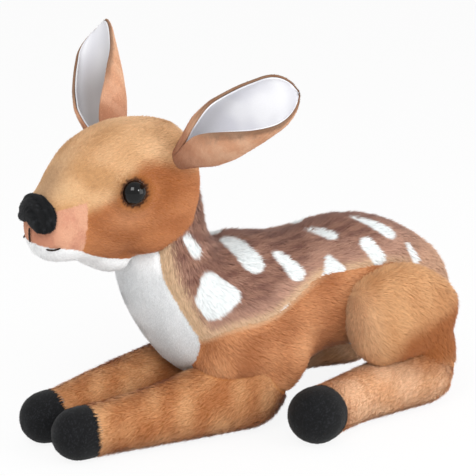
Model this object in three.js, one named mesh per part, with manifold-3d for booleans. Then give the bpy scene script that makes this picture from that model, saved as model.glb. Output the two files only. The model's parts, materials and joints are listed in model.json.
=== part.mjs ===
// Plush fawn that lies with its head up, in millimetres.
// +Z is up, the nose points towards -X and the left flank faces -Y.
// The origin is under the middle of the toy, on the surface that it lies on.

import * as THREE from "three";
import { ConvexGeometry } from "three/addons/geometries/ConvexGeometry.js";
import { mergeVertices } from "three/addons/utils/BufferGeometryUtils.js";
import Module from "manifold-3d";

const wasm = await Module();
wasm.setup();

// Cloth, seams and running gaps
const cover_thickness = 3;
const fill_gap = 0.3;
const seam_gap = 0.3;
const rest_gap = 0.35;
const turn_gap = 0.5;
const rest_flat_depth = 0.5;
const overrun = 400;
const merge_distance = 0.0001;

// Trunk, from the axis of the neck to the rump
const neck_x = -50;
const body_length = 210;
const back_height = 125;
const body_width = 88;
const rump_dome = 34;
const neck_dome = 12;

// Each row is a section from the top of the neck to the rump:
// place along the body, height, half depth and half width.
const trunk_shares = [
  [-0.02, 1.36, 0.19, 0.27],
  [-0.03, 1.2, 0.22, 0.32],
  [-0.02, 1.0, 0.26, 0.38],
  [0.03, 0.79, 0.31, 0.44],
  [0.14, 0.64, 0.4, 0.49],
  [0.31, 0.58, 0.41, 0.5],
  [0.47, 0.62, 0.36, 0.49],
  [0.64, 0.63, 0.37, 0.48],
  [0.79, 0.52, 0.36, 0.46],
  [0.91, 0.41, 0.3, 0.4],
  [0.985, 0.34, 0.24, 0.3],
];

// Shoulders, which swell over the upper forelegs
const shoulder_length = 62;
const shoulder_dome = 12;
const shoulder_x_shares = [0.16, 0.18];
const shoulder_y_shares = [0.26, 0.31];
const shoulder_z_shares = [0.66, 0.28];
const shoulder_half_width_share = 0.24;

// Seams of the trunk in side view, as shares of body length and back height
const chest_seam_shares = [
  [-0.09, 1.5],
  [-0.09, 0.98],
  [-0.08, 0.865],
  [-0.048, 0.745],
  [-0.007, 0.62],
  [0.022, 0.54],
  [0.03, 0.4],
  [0.03, -0.1],
];
const back_seam_shares = [
  [0.022, 0.54],
  [0.1, 0.595],
  [0.24, 0.63],
  [0.33, 0.71],
  [0.42, 0.775],
  [0.5, 0.78],
  [0.67, 0.78],
  [0.8, 0.72],
  [0.9, 0.56],
  [0.96, 0.34],
];
const belly_width = 34;
const belly_height = 58;
const belly_front_share = 0.06;

// Head, from the back of the skull to the end of the muzzle
const head_length = 112;
const head_height = 84;
const head_width = 74;
const head_back = 12;
const jaw_height = 119;
const head_yaw = 10;
const head_roll = 5;
const head_turn_limit = 20;
const skull_dome = 20;
const muzzle_dome = 9;

// Each row is a section from the back of the skull to the muzzle:
// place along the head, height above the jaw, half height and half width.
const head_shares = [
  [0.0, 0.53, 0.36, 0.36],
  [0.2, 0.54, 0.45, 0.46],
  [0.39, 0.52, 0.5, 0.49],
  [0.56, 0.47, 0.46, 0.43],
  [0.69, 0.41, 0.385, 0.35],
  [0.81, 0.35, 0.31, 0.29],
  [0.91, 0.335, 0.265, 0.25],
  [1.0, 0.33, 0.22, 0.22],
];

// Seams of the head in side view, as shares of head length and head height
const chin_seam_shares = [
  [-0.1, 0.0],
  [0.5, 0.03],
  [0.7, 0.14],
  [0.79, 0.2],
  [0.9, 0.23],
  [1.2, 0.25],
];
const brow_seam_shares = [
  [-0.1, 0.62],
  [0.15, 0.71],
  [0.31, 0.77],
  [0.46, 0.79],
  [0.61, 0.65],
  [0.765, 0.555],
];
const muzzle_seam_shares = [
  [0.765, 0.555],
  [0.885, 0.5],
  [1.2, 0.42],
];

// Nose, mouth stitches, eyes and their washers
const nose_length = 18;
const nose_width = 28;
const nose_height = 27;
const nose_z_share = 0.44;
const nose_along_share = 0.96;
const stitch_width = 1.3;
const stitch_thickness = 0.9;
const philtrum_height = 9;
const mouth_shares = [
  [1.2, 0.25],
  [0.95, 0.22],
  [0.89, 0.18],
  [0.82, 0.15],
];
const eye_diameter = 14.5;
const eye_stand = 5.5;
const eye_shaft_diameter = 4.5;
const eye_shaft_length = 9;
const eye_along_share = 0.54;
const eye_z_share = 0.61;
const eye_y_share = 0.445;
const eye_sink = 1;
const eye_forward_angle = 12;
const eye_up_angle = 8;
const washer_depth = 3.6;
const washer_diameter = 15;
const washer_thickness = 1.6;

// Ears
const ear_length = 82;
const ear_width = 43;
const ear_cup = 20;
const ear_outer_thickness = 1.6;
const ear_lining_thickness = 1.0;
const ear_root_diameter = 15;
const ear_along_share = 0.3;
const ear_y_share = 0.44;
const ear_z_share = 0.81;
const ear_back_angle = 28;
const ear_lift_angle = 36;
const ear_twist_angle = 15;
const ear_root_wrap_angle = 150;
const ear_tip_wrap_angle = 75;
const ear_tip_cup_share = 0.4;
const ear_start_share = 0.3;
const ear_forward_share = 0.4;
const ear_width_shares = [0.34, 0.63, 0.88, 1.0, 0.97, 0.8, 0.4];

// Forelegs, from the elbow to the hoof
const elbow_x_share = 0.21;
const elbow_y = 25;
const elbow_height = 29;
const elbow_dome = 27;
const foreleg_length = 160;
const foreleg_hoof_y = 17.5;
const right_foreleg_rise = 6;
const right_foreleg_reach = 6;
const foreleg_lift_limit = 20;
const foreleg_lift_middle = 10;
const fore_hoof_length = 28;
const hoof_stand = 0.8;

// Each row is a section from the elbow to the hoof: place along the leg, place across between
// elbow and hoof, height of the middle, half width and share of the right leg's rise.
const foreleg_shares = [
  [0.0, 0.0, 1.0, 0.74, 0.0],
  [0.2, 0.2, 0.84, 0.72, 0.5],
  [0.42, 0.55, 0.7, 0.66, 1.0],
  [0.64, 0.85, 0.62, 0.6, 0.7],
  [0.82, 1.0, 0.59, 0.58, 0.0],
  [1.0, 1.0, 0.59, 0.57, 0.0],
];

// Thighs
const thigh_length = 79;
const thigh_height = 70;
const thigh_width = 42;
const thigh_x_share = 0.49;
const thigh_y = 45;
const thigh_z = 64;
const thigh_dome = 13;

// Each row is a section from the knee to the rump:
// place along, place across, height, half height and half width.
const thigh_shares = [
  [0.0, 1.08, 0.94, 0.36, 0.38],
  [0.25, 1.06, 1.0, 0.47, 0.48],
  [0.52, 1.0, 1.02, 0.51, 0.5],
  [0.8, 0.93, 0.89, 0.46, 0.46],
  [1.0, 0.86, 0.71, 0.37, 0.36],
];

// Lower hind legs, from the hock to the hoof
const hock_x_share = 0.79;
const hock_y = 45;
const hock_height = 23;
const hock_dome = 22;
const shank_length = 137;
const shank_splay = 30;
const shank_out_limit = 20;
const shank_out_middle = 10;
const shank_in_limit = 4;
const hind_hoof_length = 31;

// Each row is a section from the hock to the hoof:
// place along, share of the splay, height of the middle and half width.
const shank_shares = [
  [0.0, 0.0, 1.0, 0.88],
  [0.25, 0.12, 0.88, 0.78],
  [0.5, 0.22, 0.78, 0.74],
  [0.7, 0.42, 0.74, 0.74],
  [0.87, 0.76, 0.8, 0.84],
  [1.0, 1.04, 0.84, 0.88],
];

// Tail
const tail_length = 46;
const tail_width = 24;
const tail_thickness = 11;
const tail_root_x_share = 0.93;
const tail_root_z_share = 0.77;
const tail_slope = 66;
const tail_root_diameter = 12;
const tail_dome = 7;
const tail_seam_share = 0.16;

// Each row is a section from the root to the tip: place along, thickness and width.
const tail_shares = [
  [0.0, 0.85, 0.5],
  [0.35, 1.0, 0.85],
  [0.7, 1.0, 1.0],
  [1.0, 0.7, 0.7],
];

// Facets of the forms: the fill is coarser than the covers
const fill_facets_share = 0.7;
const trunk_rings = 15;
const trunk_sides = 12;
const head_rings = 12;
const head_sides = 12;
const limb_rings = 8;
const limb_sides = 8;
const shoulder_rings = 5;
const dome_rings = 2;
const ball_sides = 10;
const round_sides = 14;
const ear_steps_long = 8;
const ear_steps_wide = 6;
const eye_rings = 4;

const palette = {
  back_pile: { color: "#7a4a36", roughness: 0.95 },
  orange_pile: { color: "#c98a52", roughness: 0.95 },
  forehead_pile: { color: "#cfa066", roughness: 0.95 },
  rust_pile: { color: "#c07a41", roughness: 0.95 },
  peach_plush: { color: "#e2a582", roughness: 0.9 },
  white_plush: { color: "#dcdcde", roughness: 0.9 },
  black_plush: { color: "#1c1c1e", roughness: 0.95 },
  ear_lining: { color: "#e8e6ec", roughness: 0.7 },
  fill: { color: "#f2f0ea", roughness: 1.0 },
  thread: { color: "#2a1c16", roughness: 0.8 },
  eye_plastic: { color: "#0b0b0c", roughness: 0.08 },
  washer_plastic: { color: "#e9e9e6", roughness: 0.5 },
};

const sides_of_toy = [
  [-1, "left"],
  [1, "right"],
];
const toy = new THREE.Group();
const up = new THREE.Vector3(0, 0, 1);
const across = new THREE.Vector3(0, 1, 0);
const body_x = (share) => neck_x + share * body_length;
const body_z = (share) => share * back_height;
const head_x = (share) => neck_x + head_back - share * head_length;
const head_z = (share) => jaw_height + share * head_height;
const degrees = (angle) => THREE.MathUtils.degToRad(angle);

// A closed mesh as a solid that can be cut and joined
function solid(geometry) {
  const bare = geometry.clone();
  bare.deleteAttribute("normal");
  bare.deleteAttribute("uv");
  const merged = mergeVertices(bare, merge_distance);
  const vertProperties = new Float32Array(merged.attributes.position.array);
  const triVerts = new Uint32Array(merged.index.array);
  return new wasm.Manifold(new wasm.Mesh({ numProp: 3, vertProperties, triVerts }));
}

// The union of several solids
function joined(solids) {
  return solids.reduce((whole, piece) => whole.add(piece));
}

// The largest body of a shape, without the crumbs that a cut leaves
function largest_body(shape) {
  const bodies = shape.decompose();
  return bodies.reduce((most, body) => (body.volume() > most.volume() ? body : most));
}

// Adds one named piece to a group of the toy
function add_piece(group, name, shape, finish) {
  const cut = largest_body(shape).getMesh();
  const geometry = new THREE.BufferGeometry();
  geometry.setAttribute("position", new THREE.BufferAttribute(cut.vertProperties, 3));
  geometry.setIndex(new THREE.BufferAttribute(cut.triVerts, 1));
  const material = new THREE.MeshStandardMaterial({ metalness: 0, ...palette[finish] });
  const mesh = new THREE.Mesh(geometry, material);
  mesh.name = name;
  group.add(mesh);
}

// Closes rings of points, with a pole at each end, into one body
function skin_over(rings, first_pole, last_pole) {
  const sides = rings[0].length;
  const points = [first_pole, ...rings.flat(), last_pole];
  const last = points.length - 1;
  const faces = [];
  for (let side = 0; side < sides; side += 1) {
    const next = (side + 1) % sides;
    faces.push(0, 1 + next, 1 + side);
    const tail = 1 + (rings.length - 1) * sides;
    faces.push(last, tail + side, tail + next);
    for (let ring = 0; ring < rings.length - 1; ring += 1) {
      const here = 1 + ring * sides;
      const there = here + sides;
      faces.push(here + side, here + next, there + next);
      faces.push(here + side, there + next, there + side);
    }
  }
  const geometry = new THREE.BufferGeometry().setFromPoints(points);
  geometry.setIndex(faces);
  return geometry;
}

// A stuffed form: sections carried along a spine, with a round end at each end.
// rows hold { at, half_up, half_side }, and grow is added all round.
function stuffed(rows, { start_dome, end_dome, rings, sides, grow = 0 }) {
  const spine = new THREE.CatmullRomCurve3(rows.map((row) => row.at));
  const coarse = grow < 0 ? fill_facets_share : 1;
  const ring_count = Math.round(rings * coarse);
  const side_count = 2 * Math.round((sides * coarse) / 2);
  const sizes = new THREE.CatmullRomCurve3(
    rows.map((row) => new THREE.Vector3(row.half_up, row.half_side, 0)),
  );
  const length = spine.getLength();
  const stations = [];
  for (let step = 1; step <= dome_rings; step += 1) {
    const turn = (step / dome_rings) * (Math.PI / 2);
    stations.push({ at: start_dome * (1 - Math.cos(turn)), full: Math.sin(turn), end: -1 });
  }
  const middle_rings = ring_count - 2 * dome_rings;
  const run = length - start_dome - end_dome;
  for (let step = 1; step <= middle_rings; step += 1) {
    stations.push({ at: start_dome + (run * step) / (middle_rings + 1), full: 1, end: 0 });
  }
  for (let step = dome_rings; step >= 1; step -= 1) {
    const turn = (step / dome_rings) * (Math.PI / 2);
    stations.push({ at: length - end_dome * (1 - Math.cos(turn)), full: Math.sin(turn), end: 1 });
  }
  const made = stations.map(({ at, full, end }) => {
    const t = spine.getUtoTmapping(at / length);
    const tangent = spine.getTangent(t);
    const side = across.clone().addScaledVector(tangent, -across.dot(tangent)).normalize();
    const above = new THREE.Vector3().crossVectors(tangent, side);
    const size = sizes.getPoint(t);
    const push = end * grow * Math.sqrt(1 - full * full);
    const centre = spine.getPoint(t).addScaledVector(tangent, push);
    return Array.from({ length: side_count }, (_, index) => {
      const angle = (2 * Math.PI * index) / side_count;
      return centre
        .clone()
        .addScaledVector(side, (size.y + grow) * full * Math.cos(angle))
        .addScaledVector(above, (size.x + grow) * full * Math.sin(angle));
    });
  });
  const first_pole = spine.getPoint(0).addScaledVector(spine.getTangent(0), -grow);
  const last_pole = spine.getPoint(1).addScaledVector(spine.getTangent(1), grow);
  return skin_over(made, first_pole, last_pole);
}

// A side-view region, carried across the whole toy
function side_region(points) {
  const shape = new THREE.Shape(points.map(([x, z]) => new THREE.Vector2(x, z)));
  const geometry = new THREE.ExtrudeGeometry(shape, { depth: 2 * overrun, bevelEnabled: false });
  return geometry.rotateX(Math.PI / 2).translate(0, overrun, 0);
}

// The same outline moved outwards by a seam's width
function grown(points, by) {
  const turn = THREE.ShapeUtils.area(points.map(([x, z]) => new THREE.Vector2(x, z)));
  const sign = Math.sign(turn);
  return points.map(([x, z], index) => {
    const [x0, z0] = points[(index + points.length - 1) % points.length];
    const [x1, z1] = points[(index + 1) % points.length];
    const before = new THREE.Vector2(z - z0, x0 - x).normalize();
    const after = new THREE.Vector2(z1 - z, x - x1).normalize();
    const mitre = before.clone().add(after).normalize();
    const reach = by / mitre.dot(after);
    return [x + sign * mitre.x * reach, z + sign * mitre.y * reach];
  });
}

// A block from one corner to the other
function block(low, high) {
  const size = high.clone().sub(low);
  const geometry = new THREE.BoxGeometry(size.x, size.y, size.z);
  return geometry.translate(low.x + size.x / 2, low.y + size.y / 2, low.z + size.z / 2);
}

// A round ball at a place
function ball(diameter, at) {
  const geometry = new THREE.SphereGeometry(diameter / 2, ball_sides, ball_sides / 2);
  return geometry.translate(at.x, at.y, at.z);
}

// Everything on one side of the middle, less half a seam
function side_block(side) {
  const near = side * (seam_gap / 2);
  const far = side * overrun;
  return solid(
    block(
      new THREE.Vector3(-overrun, Math.min(near, far), -overrun),
      new THREE.Vector3(overrun, Math.max(near, far), overrun),
    ),
  );
}

// Everything above the surface that the toy lies on
const above_ground = solid(
  block(new THREE.Vector3(-overrun, -overrun, 0), new THREE.Vector3(overrun, overrun, overrun)),
);

// The space that a moving form sweeps, as one convex shape round its corners at some angles
function swept(geometry, pivot, axis, angles) {
  const corners = angles.flatMap((angle) => {
    const turned = geometry.clone().translate(-pivot.x, -pivot.y, -pivot.z);
    turned.applyMatrix4(new THREE.Matrix4().makeRotationAxis(axis, degrees(angle)));
    turned.translate(pivot.x, pivot.y, pivot.z);
    const places = turned.attributes.position;
    return Array.from({ length: places.count }, (_, index) =>
      new THREE.Vector3().fromBufferAttribute(places, index),
    );
  });
  return solid(new ConvexGeometry(corners));
}

// Trunk and shoulders
function trunk_rows() {
  return trunk_shares.map(([x, z, half_up, half_side]) => ({
    at: new THREE.Vector3(body_x(x), 0, body_z(z)),
    half_up: half_up * back_height,
    half_side: half_side * body_width,
  }));
}

function shoulder_rows(side) {
  return [0, 0.5, 1].map((t) => ({
    at: new THREE.Vector3(
      body_x(THREE.MathUtils.lerp(...shoulder_x_shares, t)),
      side * body_width * THREE.MathUtils.lerp(...shoulder_y_shares, t),
      body_z(THREE.MathUtils.lerp(...shoulder_z_shares, t)),
    ),
    half_up: shoulder_length / 2,
    half_side: shoulder_half_width_share * body_width,
  }));
}

function torso_form(grow) {
  const trunk = stuffed(trunk_rows(), {
    start_dome: neck_dome,
    end_dome: rump_dome,
    rings: trunk_rings,
    sides: trunk_sides,
    grow,
  });
  const shoulders = [-1, 1].map((side) =>
    solid(
      stuffed(shoulder_rows(side), {
        start_dome: shoulder_dome,
        end_dome: shoulder_dome,
        rings: shoulder_rings,
        sides: limb_sides,
        grow,
      }),
    ),
  );
  return joined([solid(trunk), ...shoulders]);
}

// Head, in its own straight frame, then turned on the neck
const head_pivot = new THREE.Vector3(neck_x, 0, head_z(head_shares[1][1]));
const head_turned = new THREE.Matrix4()
  .makeTranslation(head_pivot.x, head_pivot.y, head_pivot.z)
  .multiply(new THREE.Matrix4().makeRotationZ(degrees(head_yaw)))
  .multiply(new THREE.Matrix4().makeRotationX(degrees(head_roll)))
  .multiply(new THREE.Matrix4().makeTranslation(-head_pivot.x, -head_pivot.y, -head_pivot.z));

function head_form(grow) {
  const rows = head_shares.map(([x, z, half_up, half_side]) => ({
    at: new THREE.Vector3(head_x(x), 0, head_z(z)),
    half_up: half_up * head_height,
    half_side: half_side * head_width,
  }));
  return stuffed(rows, {
    start_dome: skull_dome,
    end_dome: muzzle_dome,
    rings: head_rings,
    sides: head_sides,
    grow,
  });
}

const head_outline = (shares) => shares.map(([x, z]) => [head_x(x), head_z(z)]);
const body_outline = (shares) => shares.map(([x, z]) => [body_x(x), body_z(z)]);

// Forelegs
const elbow_at = (side) => new THREE.Vector3(body_x(elbow_x_share), side * elbow_y, elbow_height);

function foreleg_form(side, grow) {
  const elbow = elbow_at(side);
  const rise = side > 0 ? right_foreleg_rise : 0;
  const reach = side > 0 ? right_foreleg_reach : 0;
  const rows = foreleg_shares.map(([x, y, z, half_side, lifted]) => ({
    at: new THREE.Vector3(
      elbow.x - x * (foreleg_length + reach - elbow_dome),
      side * THREE.MathUtils.lerp(elbow_y, foreleg_hoof_y, y),
      z * elbow_height + lifted * rise,
    ),
    half_up: z * elbow_height + rest_flat_depth,
    half_side: half_side * elbow_height,
  }));
  const back_of_elbow = { ...rows[0], at: rows[0].at.clone() };
  back_of_elbow.at.x += elbow_dome;
  return stuffed([back_of_elbow, ...rows], {
    start_dome: elbow_dome,
    end_dome: rows.at(-1).half_up,
    rings: limb_rings,
    sides: limb_sides,
    grow,
  });
}

// Thighs
function thigh_form(side, grow) {
  const rows = thigh_shares.map(([x, y, z, half_up, half_side]) => ({
    at: new THREE.Vector3(
      body_x(thigh_x_share) + x * thigh_length,
      side * thigh_y * y,
      thigh_z * z,
    ),
    half_up: half_up * thigh_height,
    half_side: half_side * thigh_width,
  }));
  return stuffed(rows, {
    start_dome: thigh_dome,
    end_dome: thigh_dome,
    rings: limb_rings,
    sides: limb_sides,
    grow,
  });
}

// Lower hind legs
const hock_at = (side) => new THREE.Vector3(body_x(hock_x_share), side * hock_y, hock_height);

function shank_form(side, grow) {
  const hock = hock_at(side);
  const rows = shank_shares.map(([x, y, z, half_side]) => ({
    at: new THREE.Vector3(
      hock.x - x * (shank_length - hock_dome),
      side * (hock_y + y * shank_splay),
      z * hock_height,
    ),
    half_up: z * hock_height + rest_flat_depth,
    half_side: half_side * hock_height,
  }));
  const back_of_hock = { ...rows[0], at: rows[0].at.clone() };
  back_of_hock.at.x += hock_dome;
  return stuffed([back_of_hock, ...rows], {
    start_dome: hock_dome,
    end_dome: rows.at(-1).half_up,
    rings: limb_rings,
    sides: limb_sides,
    grow,
  });
}

// A line in side view as a thin band
function ribbon(line, width) {
  const edge = (sign) =>
    line.map(([x, z], index) => {
      const [x0, z0] = line[Math.max(index - 1, 0)];
      const [x1, z1] = line[Math.min(index + 1, line.length - 1)];
      const normal = new THREE.Vector2(z1 - z0, x0 - x1).normalize();
      return [x + (sign * normal.x * width) / 2, z + (sign * normal.y * width) / 2];
    });
  return [...edge(1), ...edge(-1).reverse()];
}

// Eyes: a dome on a shaft, held by a washer behind the cloth
function eye_place(side) {
  const outwards = new THREE.Vector3(
    -Math.sin(degrees(eye_forward_angle)),
    side * Math.cos(degrees(eye_forward_angle)),
    Math.sin(degrees(eye_up_angle)),
  ).normalize();
  const at = new THREE.Vector3(
    head_x(eye_along_share),
    side * eye_y_share * head_width,
    head_z(eye_z_share),
  );
  const turn = new THREE.Quaternion().setFromUnitVectors(across, outwards);
  return new THREE.Matrix4().compose(at, turn, new THREE.Vector3(1, 1, 1));
}

function eye_form(side, grow) {
  const radius = eye_diameter / 2 + grow;
  const shaft = eye_shaft_diameter / 2 + grow;
  const tip = -eye_shaft_length - grow;
  const profile = [
    new THREE.Vector2(0, tip),
    new THREE.Vector2(shaft, tip),
    new THREE.Vector2(shaft, -eye_sink - grow),
  ];
  for (let step = 0; step <= eye_rings; step += 1) {
    const turn = (step / eye_rings) * (Math.PI / 2);
    const height = -eye_sink - grow + (eye_stand + eye_sink + 2 * grow) * Math.sin(turn);
    profile.push(new THREE.Vector2(step < eye_rings ? radius * Math.cos(turn) : 0, height));
  }
  return solid(new THREE.LatheGeometry(profile, round_sides).applyMatrix4(eye_place(side)));
}

function washer_form(side, grow) {
  const bore = eye_shaft_diameter / 2 + fill_gap - grow;
  const radius = washer_diameter / 2 + grow;
  const top = -washer_depth + grow;
  const base = -washer_depth - washer_thickness - grow;
  const profile = [
    new THREE.Vector2(bore, base),
    new THREE.Vector2(radius, base),
    new THREE.Vector2(radius, top),
    new THREE.Vector2(bore, top),
    new THREE.Vector2(bore, base),
  ];
  return solid(new THREE.LatheGeometry(profile, round_sides).applyMatrix4(eye_place(side)));
}

function add_eye(side, word) {
  add_piece(head_group, `eye_${word}`, eye_form(side, 0), "eye_plastic");
  add_piece(head_group, `eye_washer_${word}`, washer_form(side, 0), "washer_plastic");
}

// Ears: a cupped outer cloth with a lining, on a round root
const ear_root_at = (side) =>
  new THREE.Vector3(head_x(ear_along_share), side * ear_y_share * head_width, head_z(ear_z_share));

function ear_axes(side) {
  const lift = degrees(ear_lift_angle);
  const back = degrees(ear_back_angle);
  const along = new THREE.Vector3(
    Math.cos(lift) * Math.sin(back),
    side * Math.cos(lift) * Math.cos(back),
    Math.sin(lift),
  );
  const forwards = new THREE.Vector3(-1, 0, 0);
  const open = forwards.addScaledVector(along, -forwards.dot(along)).normalize();
  open.applyAxisAngle(along, side * degrees(ear_twist_angle));
  const wide = new THREE.Vector3().crossVectors(along, open).multiplyScalar(-side);
  return { along, open, wide };
}

// One layer of the ear, from one depth under its outer face to the next
function ear_layer(side, near_face, far_face) {
  const { along, open, wide } = ear_axes(side);
  const widths = new THREE.CatmullRomCurve3(
    ear_width_shares.map((share) => new THREE.Vector3(share, 0, 0)),
  );
  const point = (u, v, face) => {
    const share = widths.getPoint(u).x;
    const half = (share * ear_width) / 2 - face;
    const cup = share * ear_cup * THREE.MathUtils.lerp(1, ear_tip_cup_share, u) - face;
    const wrap = THREE.MathUtils.lerp(ear_root_wrap_angle, ear_tip_wrap_angle, u);
    const turn = degrees(wrap) * v;
    return ear_root_at(side)
      .addScaledVector(along, ear_root_diameter * ear_start_share + u * ear_length)
      .addScaledVector(wide, half * Math.sin(turn))
      .addScaledVector(open, ear_forward_share * share * ear_cup - cup * Math.cos(turn));
  };
  return solid(curved_sheet(point, near_face, far_face, side));
}

// A closed sheet between two faces of a curved grid
function curved_sheet(point, near_face, far_face, side) {
  const points = [];
  const faces = [];
  const columns = ear_steps_wide + 1;
  const count = (ear_steps_long + 1) * columns;
  for (const face of [near_face, far_face]) {
    for (let i = 0; i <= ear_steps_long; i += 1) {
      for (let j = 0; j <= ear_steps_wide; j += 1) {
        points.push(point(i / ear_steps_long, (2 * j) / ear_steps_wide - 1, face));
      }
    }
  }
  const quad = (a, b, c, d) => {
    const ring = side > 0 ? [a, b, c, d] : [a, d, c, b];
    faces.push(ring[0], ring[1], ring[2], ring[0], ring[2], ring[3]);
  };
  for (let i = 0; i < ear_steps_long; i += 1) {
    for (let j = 0; j < ear_steps_wide; j += 1) {
      const corner = i * columns + j;
      quad(corner, corner + 1, corner + columns + 1, corner + columns);
      quad(count + corner, count + corner + columns, count + corner + columns + 1, count + corner + 1);
    }
    const first = i * columns;
    const last = first + ear_steps_wide;
    quad(first, first + columns, count + first + columns, count + first);
    quad(last, count + last, count + last + columns, last + columns);
  }
  for (let j = 0; j < ear_steps_wide; j += 1) {
    const low = j;
    const high = ear_steps_long * columns + j;
    quad(low, count + low, count + low + 1, low + 1);
    quad(high, high + 1, count + high + 1, count + high);
  }
  const geometry = new THREE.BufferGeometry().setFromPoints(points);
  geometry.setIndex(faces);
  return geometry;
}

function add_ear(side, word) {
  const root = solid(ball(ear_root_diameter, ear_root_at(side)));
  const cloth = ear_layer(side, 0, ear_outer_thickness);
  const lining_face = ear_outer_thickness + seam_gap;
  const lining = ear_layer(side, lining_face, lining_face + ear_lining_thickness);
  add_piece(head_group, `ear_${word}_outer`, cloth.add(root), "peach_plush");
  const root_space = solid(ball(ear_root_diameter + 2 * seam_gap, ear_root_at(side)));
  add_piece(head_group, `ear_${word}_lining`, lining.subtract(root_space), "ear_lining");
}

// A limb's cover, fill and hoof, cut clear of what it meets
function add_limb(words, form, hoof_length, cuts) {
  const outer = form(0);
  outer.computeBoundingBox();
  const cuff_x = outer.boundingBox.min.x + hoof_length;
  const ahead = (gap) =>
    solid(
      block(
        new THREE.Vector3(-overrun, -overrun, -overrun),
        new THREE.Vector3(cuff_x + gap, overrun, overrun),
      ),
    );
  const clear = (shape) => cuts.reduce((left, cut) => left.subtract(cut), shape);
  const fill_floor = above_ground.translate([0, 0, cover_thickness]);
  const fill_top = fill_floor.translate([0, 0, fill_gap]);
  const inner = solid(form(-cover_thickness)).intersect(fill_floor);
  const whole = solid(outer).intersect(above_ground);
  const cover = clear(whole.subtract(inner)).subtract(ahead(seam_gap));
  const fill = solid(form(-cover_thickness - fill_gap)).intersect(fill_top);
  const hoof = solid(form(hoof_stand)).intersect(above_ground).intersect(ahead(0));
  add_piece(trunk_group, words.cover, cover, words.finish);
  add_piece(trunk_group, words.stuffing, clear(fill).subtract(ahead(seam_gap)), "fill");
  add_piece(trunk_group, words.hoof, clear(hoof), "black_plush");
}

function add_foreleg(side, word) {
  const words = {
    cover: `foreleg_cover_${word}`,
    stuffing: `foreleg_stuffing_${word}`,
    hoof: `hoof_front_${word}`,
    finish: "orange_pile",
  };
  add_limb(words, (grow) => foreleg_form(side, grow), fore_hoof_length, [side_block(-side)]);
}

function add_hind_leg(side, word) {
  const words = {
    cover: `shank_cover_${word}`,
    stuffing: `shank_stuffing_${word}`,
    hoof: `hoof_hind_${word}`,
    finish: "orange_pile",
  };
  add_limb(words, (grow) => shank_form(side, grow), hind_hoof_length, [side_block(-side)]);
  const shank_sweep = shank_sweeps[(side + 1) / 2];
  const trunk_space = torso_form(rest_gap);
  const outer = solid(thigh_form(side, 0)).intersect(above_ground);
  const inner = solid(thigh_form(side, -cover_thickness));
  const fill = solid(thigh_form(side, -cover_thickness - fill_gap));
  const clear = (shape) => shape.subtract(trunk_space).subtract(shank_sweep);
  add_piece(trunk_group, `thigh_cover_${word}`, clear(outer.subtract(inner)), "orange_pile");
  add_piece(trunk_group, `thigh_stuffing_${word}`, clear(fill), "fill");
}

// Groups that place the pieces
const trunk_group = new THREE.Group();
const head_group = new THREE.Group();
head_group.applyMatrix4(head_turned);
trunk_group.add(head_group);
toy.add(trunk_group);

// Space that the moving limbs and the head sweep through, with running gaps
const fore_angles = [0, foreleg_lift_middle, foreleg_lift_limit];
const fore_sweeps = [-1, 1].map((side) =>
  swept(foreleg_form(side, turn_gap), elbow_at(side), across, fore_angles),
);
const shank_angles = [-shank_in_limit, 0, shank_out_middle, shank_out_limit];
const shank_sweeps = [-1, 1].map((side) => {
  const outwards = up.clone().multiplyScalar(-side);
  const form = shank_form(side, turn_gap);
  return swept(form, hock_at(side), outwards, shank_angles);
});
const head_sweep = swept(head_form(turn_gap).applyMatrix4(head_turned), head_pivot, up, [
  -head_turn_limit,
  0,
  head_turn_limit,
]);

// Tail
const tail_root = new THREE.Vector3(body_x(tail_root_x_share), 0, body_z(tail_root_z_share));
const tail_run = new THREE.Vector3(
  Math.cos(degrees(tail_slope)),
  0,
  -Math.sin(degrees(tail_slope)),
);
const tail_rows = tail_shares.map(([along, thick, wide]) => ({
  at: tail_root.clone().addScaledVector(tail_run, along * tail_length),
  half_up: (thick * tail_thickness) / 2,
  half_side: (wide * tail_width) / 2,
}));
const tail_form = stuffed(tail_rows, {
  start_dome: tail_dome,
  end_dome: tail_dome,
  rings: limb_rings,
  sides: limb_sides,
});
const tail_pocket = solid(ball(tail_root_diameter + 2 * turn_gap, tail_root));

function add_tail() {
  const root = solid(ball(tail_root_diameter, tail_root));
  const whole = solid(tail_form).subtract(torso_form(rest_gap)).add(root);
  const reach = tail_run.clone().multiplyScalar(2 * tail_length);
  const seam = new THREE.Vector3().crossVectors(tail_run, across);
  const middle = tail_root.clone().addScaledVector(seam, tail_seam_share * tail_thickness);
  const start = middle.clone().sub(reach);
  const end = middle.clone().add(reach);
  const outside = [
    [start.x, start.z],
    [end.x, end.z],
    [overrun, end.z],
    [overrun, start.z],
  ];
  const top = solid(side_region(grown(outside, -seam_gap / 2)));
  const under = solid(side_region(grown(outside, seam_gap / 2)));
  add_piece(trunk_group, "tail_top", whole.intersect(top), "back_pile");
  add_piece(trunk_group, "tail_underside", whole.subtract(under), "white_plush");
}

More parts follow.
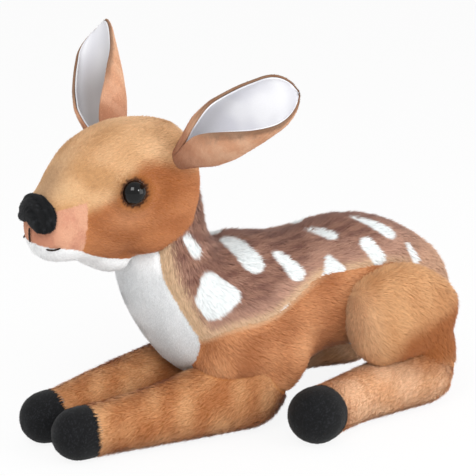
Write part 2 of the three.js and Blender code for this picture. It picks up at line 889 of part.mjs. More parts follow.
// Trunk covers, cut along the seams, over one fill
function add_trunk() {
  const clear = joined([head_sweep, ...fore_sweeps, ...shank_sweeps, tail_pocket]);
  const outer = torso_form(0).intersect(above_ground);
  const fill_floor = above_ground.translate([0, 0, cover_thickness]);
  const inner = torso_form(-cover_thickness).intersect(fill_floor);
  const shell = outer.subtract(inner).subtract(clear);
  const fill_top = fill_floor.translate([0, 0, fill_gap]);
  const fill = torso_form(-cover_thickness - fill_gap).intersect(fill_top).subtract(clear);
  add_piece(trunk_group, "torso_stuffing", fill, "fill");

  const chest_line = body_outline(chest_seam_shares);
  const back_line = body_outline(back_seam_shares);
  const chest_outline = [[-overrun, chest_line[0][1]], ...chest_line, [-overrun, -overrun]];
  const back_outline = [
    ...chest_line.slice(0, chest_line.findIndex(([, z]) => z <= back_line[0][1])),
    ...back_line,
    [overrun, -overrun],
    [overrun, overrun],
    [-overrun, overrun],
    [-overrun, chest_line[0][1]],
  ];
  const chest = solid(side_region(chest_outline));
  const chest_edge = solid(side_region(grown(chest_outline, seam_gap)));
  const back = solid(side_region(back_outline));
  const back_edge = solid(side_region(grown(back_outline, seam_gap)));
  const belly_front = body_x(belly_front_share);
  const belly_block = (gap) =>
    solid(
      block(
        new THREE.Vector3(belly_front - gap, -belly_width / 2 - gap, -overrun),
        new THREE.Vector3(overrun, belly_width / 2 + gap, belly_height + gap),
      ),
    );
  const sides_shell = shell.subtract(chest_edge).subtract(back_edge);
  add_piece(trunk_group, "chest_cover", shell.intersect(chest).subtract(back_edge), "white_plush");
  add_piece(trunk_group, "back_cover", shell.intersect(back), "back_pile");
  add_piece(trunk_group, "belly_cover", sides_shell.intersect(belly_block(0)), "white_plush");
  const flanks = sides_shell.subtract(belly_block(seam_gap));
  for (const [side, word] of sides_of_toy) {
    add_piece(trunk_group, `flank_cover_${word}`, flanks.intersect(side_block(side)), "orange_pile");
  }
}

// Head covers, cut along the seams, over one fill
function add_head() {
  const fittings = sides_of_toy.flatMap(([side]) => [
    eye_form(side, fill_gap),
    washer_form(side, fill_gap),
    solid(ball(ear_root_diameter + 2 * turn_gap, ear_root_at(side))),
  ]);
  const clear = joined(fittings);
  const inner = solid(head_form(-cover_thickness));
  const shell = solid(head_form(0)).subtract(inner).subtract(clear);
  const fill = solid(head_form(-cover_thickness - fill_gap)).subtract(clear);
  add_piece(head_group, "head_stuffing", fill, "fill");

  const chin_line = head_outline(chin_seam_shares);
  const brow_line = head_outline(brow_seam_shares);
  const muzzle_line = head_outline(muzzle_seam_shares);
  const chin_outline = [...chin_line, [-overrun, -overrun], [overrun, -overrun]];
  const low_outline = [...brow_line, ...muzzle_line.slice(1), [-overrun, -overrun], [overrun, -overrun]];
  const patch_corner = muzzle_line[0];
  const patch_outline = [
    patch_corner,
    [patch_corner[0], -overrun],
    [-overrun, -overrun],
    [-overrun, overrun],
    [patch_corner[0], overrun],
  ];
  const chin = solid(side_region(chin_outline));
  const chin_edge = solid(side_region(grown(chin_outline, seam_gap)));
  const low = solid(side_region(low_outline));
  const low_edge = solid(side_region(grown(low_outline, seam_gap)));
  const patch = solid(side_region(patch_outline));
  const patch_edge = solid(side_region(grown(patch_outline, seam_gap)));
  add_piece(head_group, "forehead_cover", shell.subtract(low_edge), "forehead_pile");
  add_piece(head_group, "chin_cover", shell.intersect(chin), "white_plush");
  const faces = shell.intersect(low).subtract(chin_edge);
  for (const [side, word] of sides_of_toy) {
    const half = faces.intersect(side_block(side));
    add_piece(head_group, `cheek_cover_${word}`, half.subtract(patch_edge), "rust_pile");
    add_piece(head_group, `muzzle_cover_${word}`, half.intersect(patch), "peach_plush");
  }

  const nose_at = new THREE.Vector3(head_x(nose_along_share), 0, head_z(nose_z_share));
  const nose = ball(1, nose_at.clone().multiplyScalar(0))
    .scale(nose_length, nose_width, nose_height)
    .translate(nose_at.x, nose_at.y, nose_at.z);
  add_piece(head_group, "nose_pad", solid(nose).subtract(solid(head_form(seam_gap))), "black_plush");

  const mouth_line = head_outline(mouth_shares);
  const mouth_outline = ribbon(mouth_line, stitch_width);
  const thread_layer = solid(head_form(seam_gap + stitch_thickness)).subtract(solid(head_form(seam_gap)));
  const lip = head_outline([mouth_shares[0]])[0];
  const philtrum = solid(
    block(
      new THREE.Vector3(-overrun, -stitch_width / 2, lip[1]),
      new THREE.Vector3(lip[0], stitch_width / 2, lip[1] + philtrum_height),
    ),
  );
  const nose_room = solid(nose.clone().translate(-seam_gap, 0, -seam_gap));
  const stitches = thread_layer
    .intersect(solid(side_region(mouth_outline)).add(philtrum))
    .subtract(nose_room);
  add_piece(head_group, "mouth_stitches", stitches, "thread");
}

add_trunk();
add_head();
add_tail();
for (const [side, word] of sides_of_toy) {
  add_eye(side, word);
  add_ear(side, word);
  add_foreleg(side, word);
  add_hind_leg(side, word);
}

// The toy is centred over its origin
const extent = new THREE.Box3().setFromObject(trunk_group, true);
const middle = extent.getCenter(new THREE.Vector3());
trunk_group.position.set(-middle.x, -middle.y, -extent.min.z);

export default toy;
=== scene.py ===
"""Looks of a plush fawn that lies with its head up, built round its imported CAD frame.

Lengths are in millimetres until a mesh is made, which turns them to metres.
Every stuffed form is a spine with oval sections, as in the CAD model. Its skin is voxel
joined, filled by cloth pressure, and then planted with pile that is one mesh a panel.
"""

import json
import logging
import math
import sys
from collections.abc import Callable, Sequence
from dataclasses import dataclass, field
from enum import Enum

import bpy
import numpy as np
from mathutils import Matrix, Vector
from mathutils.bvhtree import BVHTree


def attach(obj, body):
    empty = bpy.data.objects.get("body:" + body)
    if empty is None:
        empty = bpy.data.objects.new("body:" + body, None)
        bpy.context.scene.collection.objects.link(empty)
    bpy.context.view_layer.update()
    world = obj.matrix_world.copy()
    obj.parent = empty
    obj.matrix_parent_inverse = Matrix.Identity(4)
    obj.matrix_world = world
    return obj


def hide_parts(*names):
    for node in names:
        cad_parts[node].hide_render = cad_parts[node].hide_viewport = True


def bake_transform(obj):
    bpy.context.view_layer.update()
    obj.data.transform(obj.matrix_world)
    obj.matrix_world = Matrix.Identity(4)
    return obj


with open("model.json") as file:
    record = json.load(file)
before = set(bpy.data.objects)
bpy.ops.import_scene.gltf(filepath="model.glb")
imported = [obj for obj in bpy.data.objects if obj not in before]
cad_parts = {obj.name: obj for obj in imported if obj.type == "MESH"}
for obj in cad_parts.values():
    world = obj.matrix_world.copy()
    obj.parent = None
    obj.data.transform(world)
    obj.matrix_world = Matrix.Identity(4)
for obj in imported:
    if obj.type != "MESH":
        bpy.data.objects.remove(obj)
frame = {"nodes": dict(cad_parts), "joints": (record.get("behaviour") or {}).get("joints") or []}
log = logging.getLogger("fawn")

METRES = 0.001
UP = np.array([0.0, 0.0, 1.0])
ACROSS = np.array([0.0, 1.0, 0.0])
# Where each joint turns, in millimetres.
JOINTS = {joint["name"]: np.array(joint["pos_m"]) / METRES for joint in frame["joints"]}
NECK = JOINTS["head_turn"]
NECK_X, MIDDLE_Y = NECK[0], NECK[1]
BODY_LENGTH, BACK_HEIGHT, BODY_WIDTH = 210.0, 125.0, 88.0
HEAD_LENGTH, HEAD_HEIGHT, HEAD_WIDTH = 112.0, 84.0, 74.0
HEAD_BACK, JAW_HEIGHT = 12.0, 119.0
# Sections and points round them that every stuffed form is drawn with.
FORM_RINGS, FORM_SIDES = 46, 32
# Cloth pressure and frames that a skin is filled with.
FILL_PRESSURE, FILL_FRAMES = 4.0, 20
# Lowest places of a skin and of its pile, in millimetres over the ground.
SKIN_FLOOR, PILE_FLOOR = 0.35, 0.1
# Depth and half width of the groove that a seam draws, in millimetres.
GROOVE_DEPTH, GROOVE_WIDTH = 1.2, 1.7
# How bright the backing is beside its pile, and a black pad beside its own: painted shade between
# the blades.
BACKING_PAINTED_SHADE, PAD_PAINTED_SHADE = 0.85, 0.6
# Share of a form's sections inside which another skin's pile is left out.
HIDDEN_SHARE = 0.9


class Side(Enum):
    """The toy's left and right, with the sign of Y that each has."""

    LEFT = -1
    RIGHT = 1

    @property
    def word(self) -> str:
        """The side's word in piece names."""
        return self.name.lower()


def linear(code: str) -> np.ndarray:
    """Turns an sRGB hex colour such as "#c98f55" into linear red, green and blue."""
    srgb = np.array([int(code[k : k + 2], 16) for k in (1, 3, 5)]) / 255
    return np.where(srgb <= 0.04045, srgb / 12.92, ((srgb + 0.055) / 1.055) ** 2.4)


def smooth(low: float, high: float, value: np.ndarray) -> np.ndarray:
    """Rises from 0 at low to 1 at high with flat ends."""
    t = np.clip((np.asarray(value, float) - low) / (high - low), 0, 1)
    return t * t * (3 - 2 * t)


def mix(first: np.ndarray | str, second: np.ndarray | str, share: np.ndarray) -> np.ndarray:
    """Blends colours row by row, from the first at share 0 to the second at share 1.

    Args:
        first: Linear colours, or one sRGB hex colour.
        second: The same.
        share: One share a row.

    Returns:
        Linear colours, one a row.
    """
    start, end = (linear(one) if isinstance(one, str) else one for one in (first, second))
    part = np.asarray(share, float)[:, None]
    return start * (1 - part) + end * part


def unit(rows: np.ndarray) -> np.ndarray:
    """Scales each row to a length of one."""
    return rows / np.maximum(np.linalg.norm(rows, axis=-1, keepdims=True), 1e-9)


def plane_waves(wavelength: float, seed: int, count: int) -> tuple[np.ndarray, ...]:
    """Seeded plane waves, as their headings, wave numbers and phases."""
    rng = np.random.default_rng(seed)
    heading = unit(rng.normal(size=(count, 3)))
    number = 2 * math.pi / (wavelength * rng.uniform(0.7, 1.5, count))
    return heading, number, rng.uniform(0, 2 * math.pi, count)


def ripple(points: np.ndarray, wavelength: float, seed: int) -> np.ndarray:
    """Smooth noise of about -1 to 1: the mean of seven plane sine waves.

    Args:
        points: Places in millimetres, one a row.
        wavelength: Middle wavelength in millimetres.
        seed: Seed of the waves.

    Returns:
        One value a point.
    """
    heading, number, phase = plane_waves(wavelength, seed, 7)
    steep = heading * number[:, None]
    return np.sin(points @ steep.T + phase).sum(axis=1) / math.sqrt(len(phase))


def ripple_slope(points: np.ndarray, wavelength: float, seed: int) -> np.ndarray:
    """Direction in which smooth noise of nine waves rises, as one vector a point."""
    heading, number, phase = plane_waves(wavelength, seed, 9)
    slope = np.cos((points @ heading.T) * number + phase) @ heading
    return slope / math.sqrt(len(phase)) * 1.7


def mottle(
    points: np.ndarray, wavelength: float, seed: int, rng: np.random.Generator, spread: float = 0.35
) -> np.ndarray:
    """Smooth patches with the fibres' own differences over them.

    Args:
        points: Places in millimetres.
        wavelength: Middle size of the patches in millimetres.
        seed: Seed of the patches.
        rng: Source of the fibres' differences.
        spread: Size of those differences.

    Returns:
        One value a point.
    """
    return ripple(points, wavelength, seed) + spread * rng.normal(size=len(points))


def spline(points: np.ndarray, t: np.ndarray) -> np.ndarray:
    """Centripetal Catmull-Rom curve through points.

    Each stretch is a cubic. Its end slopes come from the neighbouring points, weighed by the
    square roots of their distances, and a mirrored point is added past each end.

    Args:
        points: Points that the curve passes, one a row.
        t: Shares of the curve from 0 to 1, with equal shares between the points.

    Returns:
        Points on the curve.
    """
    line = np.vstack([2 * points[0] - points[1], points, 2 * points[-1] - points[-2]])
    step = np.sqrt(np.maximum(np.linalg.norm(np.diff(line, axis=0), axis=1), 1e-6))
    place = np.clip(t, 0, 1) * (len(points) - 1)
    cell = np.minimum(place.astype(int), len(points) - 2)
    w = (place - cell)[:, None]
    p0, p1, p2, p3 = (line[cell + k] for k in range(4))
    d0, d1, d2 = (step[cell + k][:, None] for k in range(3))
    m1 = ((p1 - p0) / d0 - (p2 - p0) / (d0 + d1) + (p2 - p1) / d1) * d1
    m2 = ((p2 - p1) / d1 - (p3 - p1) / (d1 + d2) + (p3 - p2) / d2) * d1
    cube, square = w**3, w**2
    return (
        (2 * cube - 3 * square + 1) * p1
        + (cube - 2 * square + w) * m1
        + (3 * square - 2 * cube) * p2
        + (cube - square) * m2
    )


def line_distance(points: np.ndarray, line: np.ndarray) -> np.ndarray:
    """Shortest distance of each point from a line of straight stretches."""
    best = np.full(len(points), np.inf)
    for corner, step in zip(line[:-1], np.diff(line, axis=0), strict=True):
        offset = points - corner
        share = np.clip(offset @ step / max(step @ step, 1e-9), 0, 1)
        best = np.minimum(best, np.linalg.norm(offset - share[:, None] * step, axis=1))
    return best


def seam_distance(points: np.ndarray, seam: np.ndarray) -> np.ndarray:
    """Distance of each point from a seam in side view, where the seam is rows of X and Z."""
    return line_distance(points[:, [0, 2]], seam)


def capped(grid: np.ndarray) -> tuple[np.ndarray, np.ndarray]:
    """Closes rings of points into a skin, whose first and last rings are poles.

    Args:
        grid: Points by ring and by place round it.

    Returns:
        Points, and faces as rows of four corners, where a pole's face repeats one.
    """
    points = np.vstack([grid[0, :1], grid[1:-1].reshape(-1, 3), grid[-1, :1]])
    index = 1 + np.arange(len(points) - 2).reshape(-1, grid.shape[1])
    following = np.roll(index, -1, axis=1)
    body = np.stack([index[:-1], following[:-1], following[1:], index[1:]], -1)
    pole = np.full(grid.shape[1], len(points) - 1)
    first = np.stack([following[0], index[0], 0 * pole, 0 * pole], -1)
    last = np.stack([index[-1], following[-1], pole, pole], -1)
    return points, np.vstack([body.reshape(-1, 4), first, last])


def ovals(
    centre: np.ndarray,
    directions: tuple[np.ndarray, np.ndarray],
    wide: np.ndarray,
    high: np.ndarray,
    sides: int,
) -> tuple[np.ndarray, np.ndarray]:
    """A closed skin of ovals, of which the first and the last are poles.

    A point is the oval's centre plus half width times cosine along the first direction, plus
    half height times sine along the second.

    Args:
        centre: Middle of each oval.
        directions: The ways in which the half width and the half height are measured.
        wide: Half width of each oval, or of each of its points.
        high: Half height, in the same way.
        sides: Points round each oval.

    Returns:
        Points and faces, as from capped.
    """
    around = 2 * math.pi * np.arange(sides) / sides
    first, second = directions
    return capped(
        centre[:, None]
        + first[:, None] * (wide * np.cos(around))[..., None]
        + second[:, None] * (high * np.sin(around))[..., None]
    )


def joined(parts: Sequence[tuple[np.ndarray, np.ndarray]]) -> tuple[np.ndarray, np.ndarray]:
    """Puts the points and faces of several skins together."""
    offsets = np.cumsum([0] + [len(points) for points, _ in parts[:-1]])
    faces = [rows + first for (_, rows), first in zip(parts, offsets, strict=True)]
    return np.vstack([points for points, _ in parts]), np.vstack(faces)


@dataclass(frozen=True)
class Nearest:
    """Where points lie along a form: its nearest sections and the places in them."""

    share: np.ndarray
    tangent: np.ndarray
    over: np.ndarray
    beside: np.ndarray


@dataclass
class Form:
    """A stuffed form: oval sections carried along a smooth spine, with a round end at each end.

    rows hold x, y, z, half height and half width of each section in millimetres.
    """

    rows: np.ndarray
    domes: tuple[float, float]
    turn: np.ndarray = field(default_factory=lambda: np.eye(4))

    def __post_init__(self) -> None:
        """Measures the spine."""
        self.dense = np.linspace(0, 1, 400)
        line = spline(self.rows[:, :3], self.dense)
        steps = np.linalg.norm(np.diff(line, axis=0), axis=1)
        self.lengths = np.concatenate([[0], np.cumsum(steps)])
        self.length = self.lengths[-1]

    def sections(self, along: np.ndarray) -> tuple[np.ndarray, ...]:
        """Sections at lengths along the spine.

        The side direction is across the toy less its part along the spine, and the upper
        direction is square to both.

        Args:
            along: Lengths from the first end, in millimetres.

        Returns:
            Centres, tangents, side and upper directions, half heights and half widths.
        """
        t = np.interp(along, self.lengths, self.dense)
        centre = spline(self.rows[:, :3], t)
        ahead = spline(self.rows[:, :3], np.minimum(t + 1e-3, 1))
        behind = spline(self.rows[:, :3], np.maximum(t - 1e-3, 0))
        tangent = unit(ahead - behind)
        side = unit(ACROSS - (tangent @ ACROSS)[:, None] * tangent)
        above = np.cross(tangent, side)
        sizes = spline(self.rows[:, 3:5], t)
        turn = self.turn[:3, :3]
        centre = centre @ turn.T + self.turn[:3, 3]
        return centre, tangent @ turn.T, side @ turn.T, above @ turn.T, sizes[:, 0], sizes[:, 1]

    def roundness(self, along: np.ndarray) -> np.ndarray:
        """Share of the full section that the round ends leave, as in a quarter ellipse."""
        start = np.clip(1 - along / self.domes[0], 0, 1)
        end = np.clip(1 - (self.length - along) / self.domes[1], 0, 1)
        return np.sqrt(np.maximum(1 - np.maximum(start, end) ** 2, 0))

    def surface(self, grow: float) -> tuple[np.ndarray, np.ndarray]:
        """The form's outer face, let out by a distance in millimetres all round."""
        turn = np.linspace(0, math.pi / 2, FORM_RINGS // 4)
        start = self.domes[0] * (1 - np.cos(turn))
        end = self.length - self.domes[1] * (1 - np.cos(turn))[::-1]
        middle = np.linspace(start[-1], end[0], FORM_RINGS + 4 - 2 * len(turn))[1:-1]
        along = np.concatenate([start, middle, end])
        centre, tangent, side, above, half_up, half_side = self.sections(along)
        full = self.roundness(along)[:, None]
        past = np.where(along < self.length / 2, -1, 1)[:, None]
        push = past * grow * np.sqrt(np.maximum(1 - full**2, 0))
        wide, high = ((half[:, None] + grow) * full for half in (half_side, half_up))
        return ovals(centre + tangent * push, (side, above), wide, high, FORM_SIDES)

    def locate(self, points: np.ndarray) -> Nearest:
        """Finds the nearest section of each point.

        Args:
            points: Places in millimetres.

        Returns:
            Share of the length, tangent, and the place in the section as shares of its
            half height and half width.
        """
        along = np.linspace(0, self.length, 72)
        centre, tangent, side, above, half_up, half_side = self.sections(along)
        full = np.maximum(self.roundness(along), 0.05)
        near = np.argmin((centre**2).sum(1) - 2 * points @ centre.T, axis=1)
        offset = points - centre[near]
        ahead = (offset * tangent[near]).sum(1)
        return Nearest(
            share=(along[near] + ahead) / self.length,
            tangent=tangent[near],
            over=(offset * above[near]).sum(1) / (half_up * full)[near],
            beside=(offset * side[near]).sum(1) / (half_side * full)[near],
        )

    def holds(self, points: np.ndarray, scale: float) -> np.ndarray:
        """Marks the points inside the form, shrunk or grown by a scale."""
        place = self.locate(points)
        inside = place.over**2 + place.beside**2 < scale**2
        return inside & (place.share > 0) & (place.share < 1)


def new_piece(name: str, points: np.ndarray, faces: Sequence[np.ndarray]) -> bpy.types.Object:
    """Makes a mesh object from whole arrays.

    Args:
        name: The piece's name.
        points: Corners in millimetres.
        faces: Arrays of corner indices, each with its own number of corners a face. A row
            that repeats its last corner has one corner less.

    Returns:
        The object, at the origin.
    """
    sorted_faces = []
    for rows in faces:
        thin = rows[:, -2] == rows[:, -1]
        sorted_faces += [rows[~thin], rows[thin][:, :-1]]
    sorted_faces = [rows for rows in sorted_faces if len(rows)]
    loops = np.concatenate([rows.ravel() for rows in sorted_faces]).astype(np.int32)
    counts = np.concatenate([np.full(len(rows), rows.shape[1]) for rows in sorted_faces])
    starts = np.concatenate([[0], np.cumsum(counts)[:-1]]).astype(np.int32)
    mesh = bpy.data.meshes.new(name)
    mesh.vertices.add(len(points))
    mesh.vertices.foreach_set("co", (points * METRES).astype(np.float32).ravel())
    mesh.loops.add(len(loops))
    mesh.loops.foreach_set("vertex_index", loops)
    mesh.polygons.add(len(starts))
    mesh.polygons.foreach_set("loop_start", starts)
    mesh.update(calc_edges=True)
    made = bpy.data.objects.new(name, mesh)
    bpy.context.scene.collection.objects.link(made)
    return made


def corners(mesh: bpy.types.Mesh) -> np.ndarray:
    """A mesh's corners in millimetres."""
    flat = np.empty(len(mesh.vertices) * 3, np.float32)
    mesh.vertices.foreach_get("co", flat)
    return flat.reshape(-1, 3).astype(float) / METRES


def set_corners(mesh: bpy.types.Mesh, points: np.ndarray) -> None:
    """Moves a mesh's corners to places in millimetres."""
    mesh.vertices.foreach_set("co", (points * METRES).astype(np.float32).ravel())
    mesh.update()


def corner_normals(mesh: bpy.types.Mesh) -> np.ndarray:
    """A mesh's normals at its corners."""
    flat = np.empty(len(mesh.vertices) * 3, np.float32)
    mesh.vertex_normals.foreach_get("vector", flat)
    return flat.reshape(-1, 3).astype(float)


def bake_modifiers(piece: bpy.types.Object) -> None:
    """Applies a piece's modifiers to its mesh."""
    graph = bpy.context.evaluated_depsgraph_get()
    mesh = bpy.data.meshes.new_from_object(piece.evaluated_get(graph))
    piece.modifiers.clear()
    piece.data = mesh


def set_tint(mesh: bpy.types.Mesh, colours: np.ndarray) -> None:
    """Stores linear colours at a mesh's corners as the attribute Tint."""
    store = mesh.attributes.get("Tint") or mesh.attributes.new("Tint", "FLOAT_COLOR", "POINT")
    rows = np.c_[np.clip(colours, 0, 1), np.ones(len(colours))]
    store.data.foreach_set("color", rows.astype(np.float32).ravel())


def fill_with_pressure(piece: bpy.types.Object, cap: float) -> None:
    """Swells a closed skin with Blender's Cloth, as filling does, and keeps the result.

    The cloth has pressure 4 and no gravity for 20 frames. No corner moves further than the
    cap. Then the whole skin is let out evenly along its normals, so that its mean swelling is
    the cap and the toy keeps its size.

    Args:
        piece: Closed mesh object.
        cap: Longest move in millimetres.
    """
    rest = corners(piece.data)
    cloth = piece.modifiers.new("Filling", "CLOTH")
    cloth.settings.quality = 4
    cloth.settings.use_pressure = True
    cloth.settings.uniform_pressure_force = FILL_PRESSURE
    cloth.settings.effector_weights.gravity = 0
    cloth.point_cache.frame_start, cloth.point_cache.frame_end = 1, FILL_FRAMES
    scene = bpy.context.scene
    for step in range(1, FILL_FRAMES + 1):
        scene.frame_set(step)
    graph = bpy.context.evaluated_depsgraph_get()
    swollen = piece.evaluated_get(graph).to_mesh()
    move = corners(swollen) - rest
    piece.evaluated_get(graph).to_mesh_clear()
    piece.modifiers.clear()
    size = np.linalg.norm(move, axis=1, keepdims=True)
    move *= np.minimum(1, cap / np.maximum(size, 1e-6))
    normals = corner_normals(piece.data)
    swelling = (move * normals).sum(1)
    log.info("%s swells by %.2f mm, spread %.2f", piece.name, swelling.mean(), swelling.std())
    set_corners(piece.data, rest + move + normals * (cap - swelling.mean()))
    scene.frame_set(1)


def stuffed_skin(
    name: str, forms: Sequence[Form], inset: float, voxel: float, cap: float = 1.8
) -> bpy.types.Object:
    """Joins forms into one closed cloth skin and fills it.

    Args:
        name: The piece's name.
        forms: Forms that the skin covers.
        inset: Millimetres that the finished skin lies under the forms' faces, where the pile
            stands.
        voxel: Grain of the joining, in millimetres.
        cap: Longest swelling in millimetres.

    Returns:
        The skin, with smooth shading.
    """
    points, faces = joined([form.surface(-inset - cap) for form in forms])
    skin = new_piece(name, points, [faces])
    remesh = skin.modifiers.new("Join", "REMESH")
    remesh.mode, remesh.voxel_size = "VOXEL", voxel * METRES
    relax = skin.modifiers.new("Relax", "SMOOTH")
    relax.factor, relax.iterations = 0.5, 4
    bake_modifiers(skin)
    fill_with_pressure(skin, cap)
    finer = skin.modifiers.new("Finer", "SUBSURF")
    finer.levels = finer.render_levels = 2
    bake_modifiers(skin)
    rest = corners(skin.data)
    rest[:, 2] = np.maximum(rest[:, 2], SKIN_FLOOR)
    set_corners(skin.data, rest)
    skin.data.shade_smooth()
    return skin


@dataclass(frozen=True)
class Pile:
    """How a fur cloth's pile stands.

    Lengths are in millimetres and angles in degrees from the cloth's normal.
    """

    length: float
    root_lean: float
    tip_lean: float
    width: float
    bent: bool = True
    clump: float = 0.5
    wave: float = 0.25
    # Share of the colour a blade keeps at its root, rising to all of it at the tip: painted shade
    # at the roots.
    shade: float = 0.62


LONG_PILE = Pile(5.2, 52, 76, 0.44, clump=0.42, wave=0.16, shade=0.8)
BODY_PILE = Pile(4.4, 52, 77, 0.42, clump=0.36, wave=0.15, shade=0.84)
FACE_PILE = Pile(3.0, 60, 80, 0.38, clump=0.12, wave=0.1, shade=0.9)
SHORT_PILE = Pile(1.8, 56, 56, 0.5, bent=False, clump=0.1, wave=0.25, shade=0.9)
VELVET_PILE = Pile(1.2, 52, 52, 0.42, bent=False, clump=0.1, wave=0.3, shade=0.9)


@dataclass(frozen=True)
class Scatter:
    """Places on a skin, and the skin's normals there."""

    points: np.ndarray
    normals: np.ndarray

    def where(self, mask: np.ndarray | slice) -> "Scatter":
        """The places that a mask keeps."""
        return Scatter(self.points[mask], self.normals[mask])


def scatter_on(mesh: bpy.types.Mesh, density: float, seed: int) -> Scatter:
    """Spreads places evenly over a mesh.

    A place is picked in a triangle by its area, with weights 1 - sqrt(a), sqrt(a)(1 - b) and
    sqrt(a)b on its corners for two random shares a and b.

    Args:
        mesh: The skin.
        density: Places a square millimetre.
        seed: Seed of the draws.

    Returns:
        The places in random order.
    """
    mesh.calc_loop_triangles()
    triangles = np.empty(len(mesh.loop_triangles) * 3, np.int32)
    mesh.loop_triangles.foreach_get("vertices", triangles)
    triangles = triangles.reshape(-1, 3)
    points, normals = corners(mesh), corner_normals(mesh)
    a, b, c = (points[triangles[:, k]] for k in range(3))
    areas = np.linalg.norm(np.cross(b - a, c - a), axis=1) / 2
    rng = np.random.default_rng(seed)
    count = int(areas.sum() * density)
    pick = np.searchsorted(np.cumsum(areas), rng.uniform(0, areas.sum(), count))
    pick = np.minimum(pick, len(areas) - 1)
    root, split = np.sqrt(rng.uniform(size=count)), rng.uniform(size=count)
    weights = np.stack([1 - root, root * (1 - split), root * split], 1)[..., None]
    rows = triangles[pick]
    return Scatter((points[rows] * weights).sum(1), unit((normals[rows] * weights).sum(1)))


Tinter = Callable[[np.ndarray, np.random.Generator], np.ndarray]
Flow = Callable[[np.ndarray], np.ndarray]
# A blade's corners: shares of its length and of its width, and whether each lies at the root,
# at the bend or at the tip. A straight blade has the root's corners and the tip.
BLADE_HEIGHTS = np.array([0, 0, 0.5, 0.5, 1.0])
BLADE_ACROSS = np.array([0, 1, 0.1, 0.9, 0.5])
BLADE_STAGES = np.array([0, 0, 1, 1, 2])
BENT_CORNERS, BENT_FACES = [0, 1, 2, 3, 4], ([[0, 1, 3, 2]], [[2, 3, 4]])
STRAIGHT_CORNERS, STRAIGHT_FACES = [0, 1, 4], ([[0, 1, 2]],)


def plant_pile(
    name: str,
    roots: Scatter,
    flow: np.ndarray,
    pile: Pile,
    tint: Tinter,
    seed: int,
    length_scale: np.ndarray | None = None,
) -> bpy.types.Object:
    """Makes a panel's pile as one mesh of tapered blades.

    A blade leaves its root at the root lean from the cloth's normal towards the flow, and
    bends at half its length to the tip lean. Its base is as wide as the pile's width and its
    tip is a point. The normals are mostly the cloth's, so that the pile shades as one cloth.

    Args:
        name: The piece's name.
        roots: Where the blades stand.
        flow: Direction in which the pile is combed at each root.
        pile: How the pile stands.
        tint: Gives the linear colour at places.
        seed: Seed of the blades' differences.
        length_scale: Share of the pile's length at each root.

    Returns:
        The pile, with its colours and a baking map.
    """
    rng = np.random.default_rng(seed)
    count = len(roots.points)
    normal = roots.normals
    waves = np.stack([ripple(roots.points, 16, seed + k) for k in range(3)], 1)
    comb = flow + pile.wave * (waves + 0.5 * rng.normal(size=(count, 3)))
    comb = unit(comb - (comb * normal).sum(1, keepdims=True) * normal)
    side = unit(np.cross(comb, normal))
    length = pile.length * rng.uniform(0.72, 1.12, (count, 1))
    if length_scale is not None:
        length = length * length_scale[:, None]
    lean = np.radians(rng.normal(0, 7, (count, 1)) + [[pile.root_lean, pile.tip_lean]])
    first, second = (normal * np.cos(lean[:, [k]]) + comb * np.sin(lean[:, [k]]) for k in (0, 1))
    gather = ripple_slope(roots.points, 5.5, seed + 11) * pile.clump
    gather -= (gather * normal).sum(1, keepdims=True) * normal
    root = roots.points - normal * 0.4
    middle = root + first * length * 0.5 + gather * 0.3
    tip = middle + second * length * 0.5 + gather
    roll = rng.normal(0, 0.22, (count, 1))
    wide = side * np.cos(roll) + np.cross(side, first) * np.sin(roll)
    wide *= pile.width * rng.uniform(0.7, 1.25, (count, 1)) / 2
    blades = [root - wide, root + wide, middle - wide * 0.8, middle + wide * 0.8, tip]
    own = BENT_CORNERS if pile.bent else STRAIGHT_CORNERS
    heights, across, stage = BLADE_HEIGHTS[own], BLADE_ACROSS[own], BLADE_STAGES[own]
    corner = np.arange(count)[:, None] * len(own)
    faces = [corner + np.array(row) for row in (BENT_FACES if pile.bent else STRAIGHT_FACES)]
    points = np.stack([blades[k] for k in own], 1).reshape(-1, 3)
    points[:, 2] = np.maximum(points[:, 2], PILE_FLOOR)
    piece = new_piece(name, points, faces)
    standing = normal * 0.72 + unit(np.cross(wide, first)) * 0.35
    shading = unit(np.repeat(standing, len(own), axis=0))
    store = piece.data.attributes.new("custom_normal", "FLOAT_VECTOR", "POINT")
    store.data.foreach_set("vector", shading.astype(np.float32).ravel())
    bright = rng.uniform(0.9, 1.1, (count, 1, 1))
    colours = [tint(place, np.random.default_rng(seed + 7)) for place in (root, middle, tip)]
    # Painted shade: each blade darkens towards its root.
    shade = pile.shade + (1 - pile.shade) * np.sqrt(heights)
    colour = np.stack(colours, 1)[:, stage] * bright * shade[:, None]
    set_tint(piece.data, colour.reshape(-1, 3))
    add_bake_map(piece.data, np.stack([heights, across], 1), faces)
    return piece


def add_bake_map(mesh: bpy.types.Mesh, blade: np.ndarray, faces: Sequence[np.ndarray]) -> None:
    """Gives each blade its own small cell of a square map, from root to tip.

    Args:
        mesh: The pile's mesh.
        blade: Shares of a blade's length and width, one row a corner.
        faces: The faces, in the order in which the mesh holds them.
    """
    number = np.arange(len(mesh.vertices) // len(blade))
    cells = math.ceil(math.sqrt(len(number)))
    cell = np.stack([number % cells, number // cells], 1)
    places = ((cell[:, None] + 0.1 + 0.8 * blade) / cells).reshape(-1, 2)
    loops = np.concatenate([rows.ravel() for rows in faces])
    store = mesh.uv_layers.new(name="OFBake")
    store.data.foreach_set("uv", places[loops].astype(np.float32).ravel())


def add_node(
    material: bpy.types.Material,
    kind: str,
    settings: dict[str, object] | None = None,
    links: dict[str | int, bpy.types.NodeSocket] | None = None,
) -> bpy.types.Node:
    """Adds a node to a material.

    Args:
        material: The material.
        kind: Node type.
        settings: Values of the node's own settings or input sockets.
        links: Sockets to link to the named or numbered inputs.

    Returns:
        The node.
    """
    node = material.node_tree.nodes.new(kind)
    for name, value in (settings or {}).items():
        if name in node.inputs:
            node.inputs[name].default_value = value
        else:
            setattr(node, name, value)
    for name, socket in (links or {}).items():
        material.node_tree.links.new(socket, node.inputs[name])
    return node


